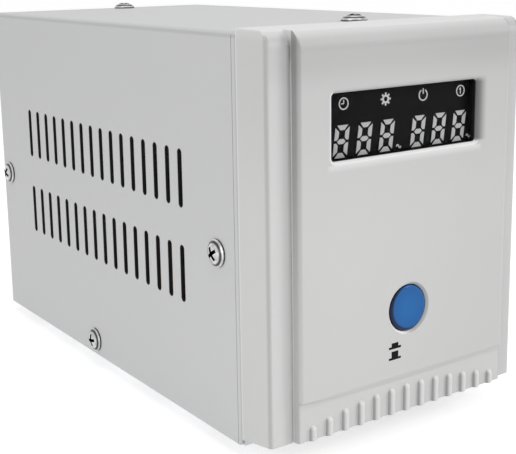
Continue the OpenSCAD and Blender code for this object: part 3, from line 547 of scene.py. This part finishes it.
# %% Front moulding
def front_moulding(name, colour, gloss):
    """The front's plastic with its layers of painted light and shade."""
    front, paint = plastic_recipe(name, colour, gloss)
    at = front.case_place()
    for layers in (brow_layers, strip_layers, step_layers, rib_layers, window_layers, ring_layers):
        for share, tone in layers(front, at):
            paint = front.mix(share, paint, tone)
    front.feed("Base Color", paint)
    return front.material


front_plastic = front_moulding("front_moulding_plastic", (0.70, 0.70, 0.695), 0.46)
print("front nodes:", len(front_plastic.node_tree.nodes))

# %% [markdown]
# ## The blue button cap
#
# The cap is polished coloured plastic. A polished moulding keeps a faint flow pattern from the gate in its
# middle, so the tone changes slowly from the centre to the rim. A thin clear coat adds a faint highlight.
# The cap's own wall is hardly seen, so a painted shadow, a dark crescent at its lower left, stands for the
# wall's shaded side.

# %% Button finish
button_blue = Recipe(
    "polished_blue_plastic", Specular_IOR_Level=0.22, Coat_Weight=0.1, Coat_Roughness=0.08
)
gate_blue, rim_blue = (0.003, 0.140, 0.435, 1.0), (0.002, 0.115, 0.385, 1.0)
# The dark blue of the painted shadow that stands for the cap's shaded wall.
wall_shade_blue = (0.001, 0.010, 0.050, 1.0)
flow_reach, crescent_reach = (2.0, 8.5), (7.3, 8.0)
cap_middle, crescent_middle = spot(0, panel_y, button_z), spot(0.9, panel_y, button_z + 0.5)


def from_point(recipe, point):
    """The distance from a point, in millimetres."""
    return recipe.vector("DISTANCE", recipe.place(), point, output="Value") / mm


streaks = button_blue.noise(260.0, detail=2.0) * 2.0
flow = button_blue.rise(from_point(button_blue, cap_middle) + streaks, *flow_reach)
blue = button_blue.mix(flow, gate_blue, rim_blue)
# Painted shade: a dark crescent at the cap's lower left.
crescent = button_blue.rise(from_point(button_blue, crescent_middle), *crescent_reach)
button_blue.feed("Base Color", button_blue.mix(crescent, blue, wall_shade_blue))
button_blue.feed("Roughness", button_blue.noise(900.0) * 0.06 + 0.27)
button_blue.bump(button_blue.noise(500.0, detail=1.0), 0.01 * mm, 0.2)
print("button finish ready")

# %% [markdown]
# ## Metals
#
# Plated screws are bright. The chassis is zinc plated: duller, with the faint bluish clouds that plating
# leaves. Brass, the extruded heat sink and spring wire follow the same recipe: full metal, a tone that
# drifts, fine scratches and roughness between limits. The cover's screws are the ones in plain view, and
# their domes get painted shade in the cross and round the foot, and a painted dark reflection on the top
# screws' crowns, to read as pan heads, so they have a recipe of their own.


# %% Metals
def metal(name, colour, rough, scratch, cloud, spread):
    """Full metal with scratches and clouds. scratch scales the noise along each axis."""
    plate = Recipe(name, Metallic=1.0)
    lines = plate.noise(1.0, detail=3.0, where=plate.vector("MULTIPLY", plate.place(), scratch))
    clouds = plate.noise(cloud, detail=3.0, roughness=0.6)
    dark = tuple(c * (1 - spread) for c in colour) + (1.0,)
    light = tuple(min(1.0, c * (1 + spread)) for c in colour) + (1.0,)
    plate.feed("Base Color", plate.mix(plate.rise(clouds, 0.3, 0.7), dark, light))
    plate.feed("Roughness", lines * 0.12 + clouds * 0.08 + (rough - 0.10))
    plate.bump(lines, 0.01 * mm, 0.3)
    return plate.material


screw_plating = metal("bright_screw_plating", (0.50, 0.50, 0.51), 0.2, (300.0, 300.0, 300.0), 90.0, 0.2)
zinc = metal("zinc_plated_sheet", (0.60, 0.61, 0.63), 0.36, (60.0, 1200.0, 1200.0), 55.0, 0.13)
brass = metal("drawn_brass", (0.78, 0.58, 0.25), 0.24, (200.0, 1500.0, 200.0), 70.0, 0.08)
sink_metal = metal("extruded_aluminium", (0.74, 0.75, 0.77), 0.38, (1500.0, 1500.0, 40.0), 30.0, 0.06)
wire_metal = metal("spring_wire", (0.52, 0.52, 0.54), 0.28, (800.0, 800.0, 800.0), 200.0, 0.08)
print("metals: 5")

# %% Heads of the cover's screws
side_seats = [(case_width / 2, 13.0, 64.4), (case_width / 2, 191.5, 64.4), (case_width / 2, 108.5, 6.4)]
top_seats = [(8.0, 18.0, case_height), (8.0, 191.5, case_height)]
dome_centre_depth, dome_radius = 4.64, 7.24
cross_depth, foot_reach, crown_z = (0.12, 0.40), (3.7, 4.1, 4.3, 4.7), (139.8, 140.1)
dull_plating, clear_plating = shade(0.46), shade(0.66)
# Painted shade for the cross and the dome's foot, and a painted dark reflection for the top crowns.
foot_shadow, crown_dark_reflection, cross_shadow = shade(0.06), shade(0.09), shade(0.012)


def from_screws(plate, at, depth):
    """The distance to the nearest of the points that lie this deep under the screws' seats."""
    here = plate.add("CombineXYZ", None, {0: at.side, 1: at.y, 2: at.z})
    points = [(x - depth, y, z) for x, y, z in side_seats] + [(x, y, z - depth) for x, y, z in top_seats]
    gaps = [plate.vector("DISTANCE", here, point, output="Value") for point in points]
    nearest = gaps[0]
    for gap in gaps[1:]:
        nearest = plate.add("Math", {"operation": "MINIMUM"}, {0: nearest, 1: gap})
    return nearest


def cover_screw_plating():
    """Bright plating with painted shade in the cross and round the dome's foot, and a painted dark reflection
    on the top screws' crowns.
    """
    plate = Recipe("cover_screw_plating", Metallic=1.0)
    at = plate.case_place()
    cross = plate.rise(dome_radius - from_screws(plate, at, dome_centre_depth), *cross_depth)
    foot = plate.band(from_screws(plate, at, 0.0), *foot_reach)
    clouds = plate.noise(420.0, detail=3.0, roughness=0.6)
    tone = plate.mix(plate.rise(clouds, 0.35, 0.65), dull_plating, clear_plating)
    tone = plate.mix(foot, tone, foot_shadow)
    tone = plate.mix(plate.rise(at.z, *crown_z), tone, crown_dark_reflection)
    plate.feed("Base Color", plate.mix(cross, tone, cross_shadow))
    plate.feed("Roughness", clouds * 0.12 + 0.12)
    plate.bump(clouds, 0.06 * mm, 0.5)
    return plate.material


head_plating = cover_screw_plating()
print("screws:", 2 * len(side_seats) + len(top_seats))

# %% [markdown]
# ## Rubber, laminations, wire and boards
#
# The feet are matt rubber with a dusty bloom. The transformer's core is a stack of half-millimetre sheets
# under varnish, so a band pattern across the stack gives its edges. The coil is enamelled wire in level
# turns. A circuit board is green lacquer over copper tracks, which stand up slightly under the lacquer.

# %% Rubber
rubber = Recipe("dusty_black_rubber", Specular_IOR_Level=0.3)
bloom = rubber.noise(160.0, detail=4.0, roughness=0.65)
rubber.feed("Base Color", rubber.mix(rubber.rise(bloom, 0.35, 0.75), shade(0.018), shade(0.045)))
rubber.feed("Roughness", bloom * 0.2 + 0.66)
rubber.bump(rubber.noise(2600.0), 0.04 * mm, 0.5)
print("rubber ready")


# %% Banded finishes
def banded(name, axis, pitch, dark, light, rough, depth, metallic=0.0):
    """A finish with level bands along one axis, such as sheets in a stack or turns on a coil."""
    bands = Recipe(name, Metallic=metallic)
    along = bands.add("SeparateXYZ", None, {0: bands.place()}, output=axis)
    wave = bands.add("Math", {"operation": "SINE"}, {0: along * (2 * math.pi / (pitch * mm))})
    stain = bands.noise(120.0, detail=3.0)
    bands.feed("Base Color", bands.mix(wave * 0.28 + stain * 0.5 + 0.25, dark + (1.0,), light + (1.0,)))
    bands.feed("Roughness", stain * 0.2 + rough)
    bands.bump(wave, depth * mm, 0.6)
    return bands.material


laminations = banded(
    "varnished_laminations", "Y", 0.5, (0.045, 0.04, 0.04), (0.17, 0.15, 0.14), 0.32, 0.05, 0.4
)
coil_wire = banded("enamelled_coil_wire", "Z", 0.9, (0.16, 0.045, 0.012), (0.52, 0.20, 0.06), 0.25, 0.2)
sleeve = banded("capacitor_sleeve", "Z", 6.0, (0.006, 0.010, 0.05), (0.02, 0.03, 0.11), 0.25, 0.0)
print("laminations, coil and sleeves ready")

# %% Circuit boards
board = Recipe("green_circuit_board", Coat_Weight=0.3, Coat_Roughness=0.2)
cells = board.add(
    "TexBrick",
    {"offset": 0.37, "squash": 1.4, "squash_frequency": 3},
    {
        "Vector": board.place(),
        "Scale": 190.0,
        "Mortar Size": 0.06,
        "Mortar Smooth": 0.2,
        "Color1": shade(0.0),
        "Color2": shade(0.25),
        "Mortar": shade(1.0),
    },
)
tracks = board.add("RGBToBW", None, {0: cells})
stain = board.noise(70.0, detail=2.0)
lacquer, over_copper = (0.008, 0.09, 0.035, 1.0), (0.03, 0.23, 0.09, 1.0)
board.feed("Base Color", board.mix(tracks * 0.6 + stain * 0.2, lacquer, over_copper))
board.feed("Roughness", stain * 0.1 + 0.3)
board.bump(tracks, 0.04 * mm, 0.4)
print("board finish ready")

# %% [markdown]
# ## The window and what lies behind it
#
# The lens is dark clear acrylic, set a little behind its rim. A real glass shader would trap light and slow
# the picture, so the lens is a thin tint: a dark, glossy surface that lets most of the view through. Behind
# it lies the face of the display, almost black, and the segments are milky light guides cut into that face.

# %% Window finishes
lens = Recipe("dark_clear_acrylic", Specular_IOR_Level=0.14)
haze = lens.noise(35.0, detail=2.0)
lens.feed("Roughness", haze * 0.03 + 0.05)
lens.feed("Alpha", haze * 0.03 + 0.06)
lens.feed("Base Color", lens.mix(haze, shade(0.004), shade(0.009)))

display_face = moulding("display_face_black", (0.004, 0.004, 0.0045), 0.5, grain=3000.0, specular=0.06)
print("lens and display face ready")

# %% Prints and light guides
white = {"grain": 1800.0, "depth": 0.01, "specular": 0.2}
segment_white = moulding("milky_segment", (0.74, 0.74, 0.735), 0.45, **white)
sign_white = moulding("white_sign_print", (0.92, 0.92, 0.91), 0.45, **white)
ink = {"grain": 2200.0, "depth": 0.005}
black_print = moulding("black_pad_print", (0.006, 0.006, 0.007), 0.6, specular=0.08, **ink)
white_print = moulding("white_pad_print", (0.72, 0.72, 0.70), 0.42, **ink)
print("prints ready")

# %% [markdown]
# ## Dress the ready-made pieces
#
# Each piece of the frame keeps its shape and only gets its finish. One table says which finish goes where,
# so a piece that is forgotten shows up at once.

# %% Finishes of the frame's own pieces
finish_of = {
    cover_paint: ["top_cover"],
    rear_paint: ["rear_panel"],
    front_plastic: ["front_bezel"],
    zinc: ["base_chassis", "front_frame", "rear_frame", "transformer_strap"],
    head_plating: ["cover_screws"],
    screw_plating: [
        "frame_screws",
        "bezel_screws",
        "front_board_screws",
        "foot_screws",
        "transformer_bolts",
        "transformer_nuts",
        "control_board_screws",
        "socket_screws",
        "breaker_nut",
    ],
    lens.material: ["display_window"],
    display_face: ["display_block"],
    board.material: ["front_board", "control_board"],
    nylon: ["board_connector", "delay_plunger", "transformer_bobbin"],
    button_blue.material: ["delay_button"],
    wire_metal: ["delay_spring"],
    black_plastic: [
        "delay_switch_housing",
        "controller_chip",
        "switch_frame",
        "breaker_body",
        "cord_inlet",
        "inlet_nut",
    ],
    rubber.material: ["rubber_feet"],
    laminations: ["transformer_core"],
    coil_wire: ["transformer_winding"],
    relay_plastic: ["relays"],
    sleeve: ["capacitors"],
    sink_metal: ["heat_sink"],
    brass: ["board_standoffs", "spade_terminals", "earth_pin", "socket_contacts", "switch_terminals"],
    socket_plastic: ["output_socket"],
    red_plastic: ["rocker_key", "breaker_button"],
}
print("finishes in the table:", len(finish_of))


# %% Dress
def wear(piece, material):
    """Gives a mesh one finish."""
    piece.data.materials.clear()
    piece.data.materials.append(material)


dressed = set()
for material, names in finish_of.items():
    for name in names:
        wear(nodes[name], material)
        dressed.add(name)
print("dressed", len(dressed), "of", len(nodes), "missing:", sorted(set(nodes) - dressed))

# %% [markdown]
# ## Thin plates for prints and segments
#
# Ink, light guides and marks are flat outlines with a little thickness. A helper takes outlines as lists of
# points on a face (x to the right, z up), fills them and gives them depth, so they are real geometry that
# also shows in an exported model.


# %% Plates from outlines
def plate_mesh(name, outlines, near, far):
    """Closed plates from flat outlines. near and far turn a point of an outline into a corner in space."""
    mesh = bpy.data.meshes.new(name)
    sheet = bmesh.new()
    for outline in outlines:
        front = [sheet.verts.new(near(x, z)) for x, z in outline]
        back = [sheet.verts.new(far(x, z)) for x, z in outline]
        sheet.faces.new(front)
        sheet.faces.new(back[::-1])
        for i, corner in enumerate(front):
            j = (i + 1) % len(front)
            sheet.faces.new((front[j], corner, back[i], back[j]))
    bmesh.ops.recalc_face_normals(sheet, faces=sheet.faces)
    sheet.to_mesh(mesh)
    sheet.free()
    return mesh


def front_plate(name, outlines, y, thickness):
    """Plates that face the front, with their front faces at y."""
    return plate_mesh(name, outlines, lambda x, z: spot(x, y, z), lambda x, z: spot(x, y + thickness, z))


def add_piece(mesh, material, body):
    """Puts a mesh into the scene as a piece that rides on a body."""
    piece = bpy.data.objects.new(mesh.name, mesh)
    bpy.context.scene.collection.objects.link(piece)
    piece.data.materials.append(material)
    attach(piece, body)
    return piece


print("plate helpers ready")


# %% Outlines that repeat
def ring(x, z, outer, inner, start=0.0, end=360.0, steps=32):
    """A flat ring, or a part of one, as a row of four-sided outlines."""
    angles = [math.radians(start + (end - start) * i / steps) for i in range(steps + 1)]
    outlines = []
    for a, b in zip(angles, angles[1:]):
        corners = ((inner, a), (outer, a), (outer, b), (inner, b))
        outlines.append([(x + r * math.cos(t), z + r * math.sin(t)) for r, t in corners])
    return outlines


def bar(x0, z0, x1, z1, width):
    """A straight stroke from one point to another."""
    along = Vector((x1 - x0, z1 - z0)).normalized() * (width / 2)
    return [
        (x0 + along.y, z0 - along.x),
        (x1 + along.y, z1 - along.x),
        (x1 - along.y, z1 + along.x),
        (x0 - along.y, z0 + along.x),
    ]


def slab(left, low, right, high):
    """An upright rectangle."""
    return [(left, low), (right, low), (right, high), (left, high)]


print("a ring has", len(ring(0, 0, 2, 1)), "outlines")

# %% [markdown]
# ## Seven-segment digits
#
# Each digit is seven light guides with mitred ends and a narrow gap between neighbours. They are drawn once
# in a box of the width and height of one digit, leaned a little to the right, and copied six times. Every
# segment is its own closed plate, a hair in front of the display's face.

# %% Digit outlines
display_y = -17.1
digit_lefts = [-30.2, -20.6, -11.0, 2.9, 12.4, 21.8]
digit_low, digit_width, digit_height = 97.5, 5.8, 10.5
segment_width, segment_gap, digit_lean = 1.6, 0.46, 0.13
segment_thickness = 0.12


def digit(left):
    """Seven mitred segments of one digit."""
    w, h, t, g = digit_width, digit_height, segment_width, segment_gap
    m = h / 2
    top = [(t + g, h - t), (w - t - g, h - t), (w - g * 1.5, h), (g * 1.5, h)]
    bottom = [(g * 1.5, 0), (w - g * 1.5, 0), (w - t - g, t), (t + g, t)]
    lower_edge = [(t * 0.72, m), (t + g, m - t / 2), (w - t - g, m - t / 2)]
    upper_edge = [(w - t * 0.72, m), (w - t - g, m + t / 2), (t + g, m + t / 2)]
    upper_left = [(0, m + g), (t * 0.55, m + g), (t, m + t / 2 + g), (t, h - t - g), (0, h - g * 1.5)]
    lower_left = [(0, m - g), (0, g * 1.5), (t, t + g), (t, m - t / 2 - g), (t * 0.55, m - g)]
    upper_right = [(w - x, z) for x, z in upper_left[::-1]]
    lower_right = [(w - x, z) for x, z in lower_left[::-1]]
    shapes = [top, bottom, lower_edge + upper_edge, upper_left, upper_right, lower_left, lower_right]
    return [[(left + x + digit_lean * z, digit_low + z) for x, z in shape] for shape in shapes]


segments = [outline for left in digit_lefts for outline in digit(left)]
segment_mesh = front_plate("display_segments", segments, display_y - segment_thickness, segment_thickness)
add_piece(segment_mesh, segment_white, "case")
print("segments:", len(segments))

# %% [markdown]
# ## Small signs on the display
#
# Above the digits stand four small signs and beside each group a unit mark. Only general signs are used: two
# clock faces, a gear, a switch-on sign, and a short wave as the mark of alternating current.

# %% Shapes of the signs
sign_z, sign_r, sign_stroke, sign_thickness = 114.8, 2.0, 0.4, 0.1
hand_width, tooth_width, stem_width, flag_width = 0.34, 0.6, 0.36, 0.3


def dial(x, start=0.0, end=360.0, steps=32):
    """The ring of a sign, or a part of it."""
    return ring(x, sign_z, sign_r, sign_r - sign_stroke, start, end, steps)


def clock_sign(x):
    """A clock face at nine o'clock."""
    minute_hand = bar(x, sign_z, x, sign_z + 1.2, hand_width)
    hour_hand = bar(x, sign_z, x - 1.0, sign_z, hand_width)
    return dial(x) + [minute_hand, hour_hand]


def gear_sign(x):
    """A hub with eight teeth."""
    teeth = []
    for angle in (math.radians(a) for a in range(0, 360, 45)):
        across, upward = sign_r * math.cos(angle), sign_r * math.sin(angle)
        root = (x + across * 0.7, sign_z + upward * 0.7)
        tip = (x + across * 1.08, sign_z + upward * 1.08)
        teeth.append(bar(*root, *tip, tooth_width))
    return ring(x, sign_z, sign_r * 0.72, sign_r * 0.4) + teeth


def power_sign(x):
    """A ring that is open at the top, with a stroke in the gap."""
    return dial(x, 120.0, 420.0, 28) + [bar(x, sign_z + 0.3, x, sign_z + 2.2, sign_stroke)]


def timer_sign(x):
    """A ring with a figure one."""
    stem = bar(x, sign_z - 1.0, x, sign_z + 1.05, stem_width)
    flag = bar(x, sign_z + 1.05, x - 0.6, sign_z + 0.4, flag_width)
    return dial(x) + [stem, flag]


def wave_sign(x, z, width, height, steps=12):
    """A short sine wave drawn with straight strokes."""
    turns = [i / steps for i in range(steps + 1)]
    points = [(x + width * t, z + height / 2 * math.sin(2 * math.pi * t)) for t in turns]
    return [bar(*a, *b, sign_stroke) for a, b in zip(points, points[1:])]


print("a wave has", len(wave_sign(0, 0, 1, 1)), "strokes")

# %% Display signs
clock_x, gear_x, power_x, timer_x, wave_height = -25.6, -8.0, 8.6, 26.0, 1.2
wave_spots = [(-3.1, 98.6, 2.0), (29.2, 98.8, 1.9)]
signs = clock_sign(clock_x) + gear_sign(gear_x) + power_sign(power_x) + timer_sign(timer_x)
for x, z, width in wave_spots:
    signs += wave_sign(x, z, width, wave_height)
sign_mesh = front_plate("display_signs", signs, display_y - sign_thickness, sign_thickness)
add_piece(sign_mesh, sign_white, "case")
print("sign strokes:", len(signs))

# %% [markdown]
# ## The printed mask behind the lens
#
# The rim that carries the lens is light plastic. On a real lens a black printed border hides it, so a thin
# frame of black print lies just behind the lens, along its edge.

# %% Lens mask
lens_lip, mask_y, mask_thickness = 0.9, -17.37, 0.03
mask_left, mask_right = window_x - lens_half_width - lens_lip, window_x + lens_half_width + lens_lip
mask_low, mask_high = window_z - lens_half_height - lens_lip, window_z + lens_half_height + lens_lip
clear_left, clear_low, clear_right, clear_high = -32.3, 97.0, 31.2, 118.5
outer_corners = slab(mask_left, mask_low, mask_right, mask_high)
clear_corners = slab(clear_left, clear_low, clear_right, clear_high)
mask = []
for i in range(4):
    j = (i + 1) % 4
    mask.append([outer_corners[i], outer_corners[j], clear_corners[j], clear_corners[i]])
mask_mesh = front_plate("lens_mask", mask, mask_y, mask_thickness)
add_piece(mask_mesh, black_print, "case")
print("mask cells:", len(mask))

# %% [markdown]
# ## Marks beside the button
#
# Two pad-printed signs under the button show its two positions: a bar with a low block for pressed in, and
# a bar with a tall block for released. The words beside them are left off.

# %% Button position signs
mark_x, mark_bar_half, mark_block_half, mark_bar_height = -6.2, 2.7, 1.5, 0.8
ink_sunk, ink_thickness = 0.03, 0.06


def position_sign(z, block_height):
    """A bar with a block on it, seen from the side like the button itself."""
    top = z + mark_bar_height
    return [
        slab(mark_x - mark_bar_half, z, mark_x + mark_bar_half, top),
        slab(mark_x - mark_block_half, top, mark_x + mark_block_half, top + block_height),
    ]


marks = position_sign(29.9, 1.3) + position_sign(26.0, 2.2)
mark_mesh = front_plate("button_position_signs", marks, panel_y - ink_sunk, ink_thickness)
add_piece(mark_mesh, black_print, "case")
print("position signs:", len(marks) // 2)

# %% [markdown]
# ## The return spring
#
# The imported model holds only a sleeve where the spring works. The real one is a few turns of thin wire. A
# path of points on a helix is swept with a round section, which gives clean walls and closed ends. Its front
# turn stops half a millimetre short of the cap, the way the cap still travels when it is pushed to its stop.


# %% A tube along a path
def swept_tube(name, path, radius, sides=10):
    """A closed round tube along a path, with a frame that doesn't twist."""
    mesh = bpy.data.meshes.new(name)
    tube = bmesh.new()
    angles = [2 * math.pi * k / sides for k in range(sides)]
    rings = []
    side = None
    for i, point in enumerate(path):
        heading = (path[min(i + 1, len(path) - 1)] - path[max(i - 1, 0)]).normalized()
        side = side or heading.orthogonal()
        side = (side - heading * heading.dot(side)).normalized()
        other = heading.cross(side)
        section = [side * math.cos(a) + other * math.sin(a) for a in angles]
        rings.append([tube.verts.new(point + outward * radius) for outward in section])
    for one, two in zip(rings, rings[1:]):
        for k in range(sides):
            tube.faces.new((one[k], one[(k + 1) % sides], two[(k + 1) % sides], two[k]))
    tube.faces.new(rings[0][::-1])
    tube.faces.new(rings[-1])
    bmesh.ops.recalc_face_normals(tube, faces=tube.faces)
    tube.to_mesh(mesh)
    tube.free()
    mesh.shade_smooth()
    return mesh


print("tube helper ready")

# %% Return spring
spring_turns, points_per_turn, spring_mid_r, wire_r = 4, 24, 3.05, 0.25
spring_front, spring_back = -18.4 + wire_r, -14.5 - wire_r
helix = []
for i in range(spring_turns * points_per_turn + 1):
    angle = 2 * math.pi * i / points_per_turn
    y = spring_front + (spring_back - spring_front) * i / (spring_turns * points_per_turn)
    helix.append(spot(spring_mid_r * math.cos(angle), y, button_z + spring_mid_r * math.sin(angle)))
spring = add_piece(swept_tube("return_spring", helix, wire_r * mm), wire_metal, "case")
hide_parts("delay_spring")
print("spring points:", len(helix))

# %% [markdown]
# ## Marks on the rocker
#
# The rocker carries the two usual signs, a stroke for on and a ring for off. They lie on the two halves of
# its face, which slope towards the middle, so each sign is drawn flat and then turned with its half.

# %% Rocker signs
rocker_axis = spot(-35.9, 198.0, 72.0)
rocker_rise, rocker_rest, valley = 4.35, math.radians(-10.0), math.radians(10.0)
print_out, print_in = 0.05, -0.02


def rocker_plate(name, outlines, lean):
    """Plates on the half of the rocker's face with this lean, drawn round its middle as seen from behind."""
    rest_turn, half_turn = Matrix.Rotation(rocker_rest, 4, "X"), Matrix.Rotation(lean, 4, "X")

    def corner(x, z, height=print_out):
        """A point of an outline, this high above the face."""
        on_half = Vector((0, rocker_rise, 0)) + half_turn @ Vector((-x, height, z))
        return rocker_axis + rest_turn @ on_half * mm

    return plate_mesh(name, outlines, corner, lambda x, z: corner(x, z, print_in))


on_mesh = rocker_plate("rocker_on_sign", [bar(0, 2.6, 0, 5.4, 0.6)], valley)
off_mesh = rocker_plate("rocker_off_sign", ring(0, -4.1, 1.5, 0.95), -valley)
for mesh in (on_mesh, off_mesh):
    add_piece(mesh, white_print, "rocker")
print("rocker signs:", on_mesh.name, off_mesh.name)

# %% [markdown]
# ## Floor, light and background
#
# A plain pale floor carries the case. It is a matt white sheet that also glows a little for the camera, so
# that the lit floor reads as white while the shadow under the case stays. The light is soft: a wide panel
# overhead, a small one at the front right that models the ribs, one on the left for the long side, and an
# even sky. The camera sees floor and sky as white, in metal and glass too, but as lights they are weaker, so
# the background is white and the pale case keeps its grey.

# %% Floor
floor_mesh = bpy.data.meshes.new("floor_sheet")
floor_shape = bmesh.new()
bmesh.ops.create_grid(floor_shape, x_segments=8, y_segments=8, size=12.0)
floor_shape.to_mesh(floor_mesh)
floor_shape.free()
floor = bpy.data.objects.new("floor_sheet", floor_mesh)
bpy.context.scene.collection.objects.link(floor)


def seen_rays(recipe):
    """1 for rays from the camera, and for those that reach it by a mirror or through glass."""
    kinds = ("Is Camera Ray", "Is Glossy Ray", "Is Transmission Ray")
    camera_rays, glossy_rays, clear_rays = (recipe.add("LightPath", output=kind) for kind in kinds)
    return recipe.larger(recipe.larger(camera_rays, glossy_rays), clear_rays)


paper = Recipe("white_paper_floor", Roughness=0.9, Specular_IOR_Level=0.1, Emission_Strength=0.52)
paper.feed("Base Color", paper.mix(paper.noise(3.0), shade(0.80), shade(0.83)))
paper.feed("Emission Color", paper.mix(seen_rays(paper), shade(0.0), shade(1.0)))
wear(floor, paper.material)
print("floor ready")


# %% Lamps
def soft_panel(name, place, aim, size, watts):
    """A square lamp that points at a spot. Places and sizes are in metres."""
    lamp = bpy.data.lights.new(name, "AREA")
    lamp.shape, lamp.size, lamp.energy = "SQUARE", size, watts
    holder = bpy.data.objects.new(name, lamp)
    holder.location = place
    holder.rotation_euler = (Vector(aim) - Vector(place)).to_track_quat("-Z", "Y").to_euler()
    bpy.context.scene.collection.objects.link(holder)


soft_panel("overhead_panel", (0.1, 0.0, 1.3), (0.0, 0.0, 0.07), size=1.2, watts=3.3)
soft_panel("front_right_panel", (0.75, -0.75, 0.55), (0.0, -0.1, 0.05), size=0.35, watts=3.4)
soft_panel("left_panel", (-1.2, -0.5, 0.5), (0.0, 0.0, 0.07), size=0.9, watts=4.0)
print("lamps:", len(bpy.data.lights))


# %% Sky
class SkyRecipe(Recipe):
    """The same node methods on the background of a world."""

    def __init__(self, world):
        world.use_nodes = True
        self.tree = world.node_tree
        self.shader = next(n for n in self.tree.nodes if n.type == "BACKGROUND")
        self.shader.inputs["Color"].default_value = (1.0, 1.0, 1.0, 1.0)


sky_light = 0.55
bpy.context.scene.world = bpy.data.worlds.new("even_sky")
sky = SkyRecipe(bpy.context.scene.world)
sky.feed("Strength", seen_rays(sky) * (1 - sky_light) + sky_light)
bpy.context.scene.view_settings.view_transform = "Standard"
print("sky ready")
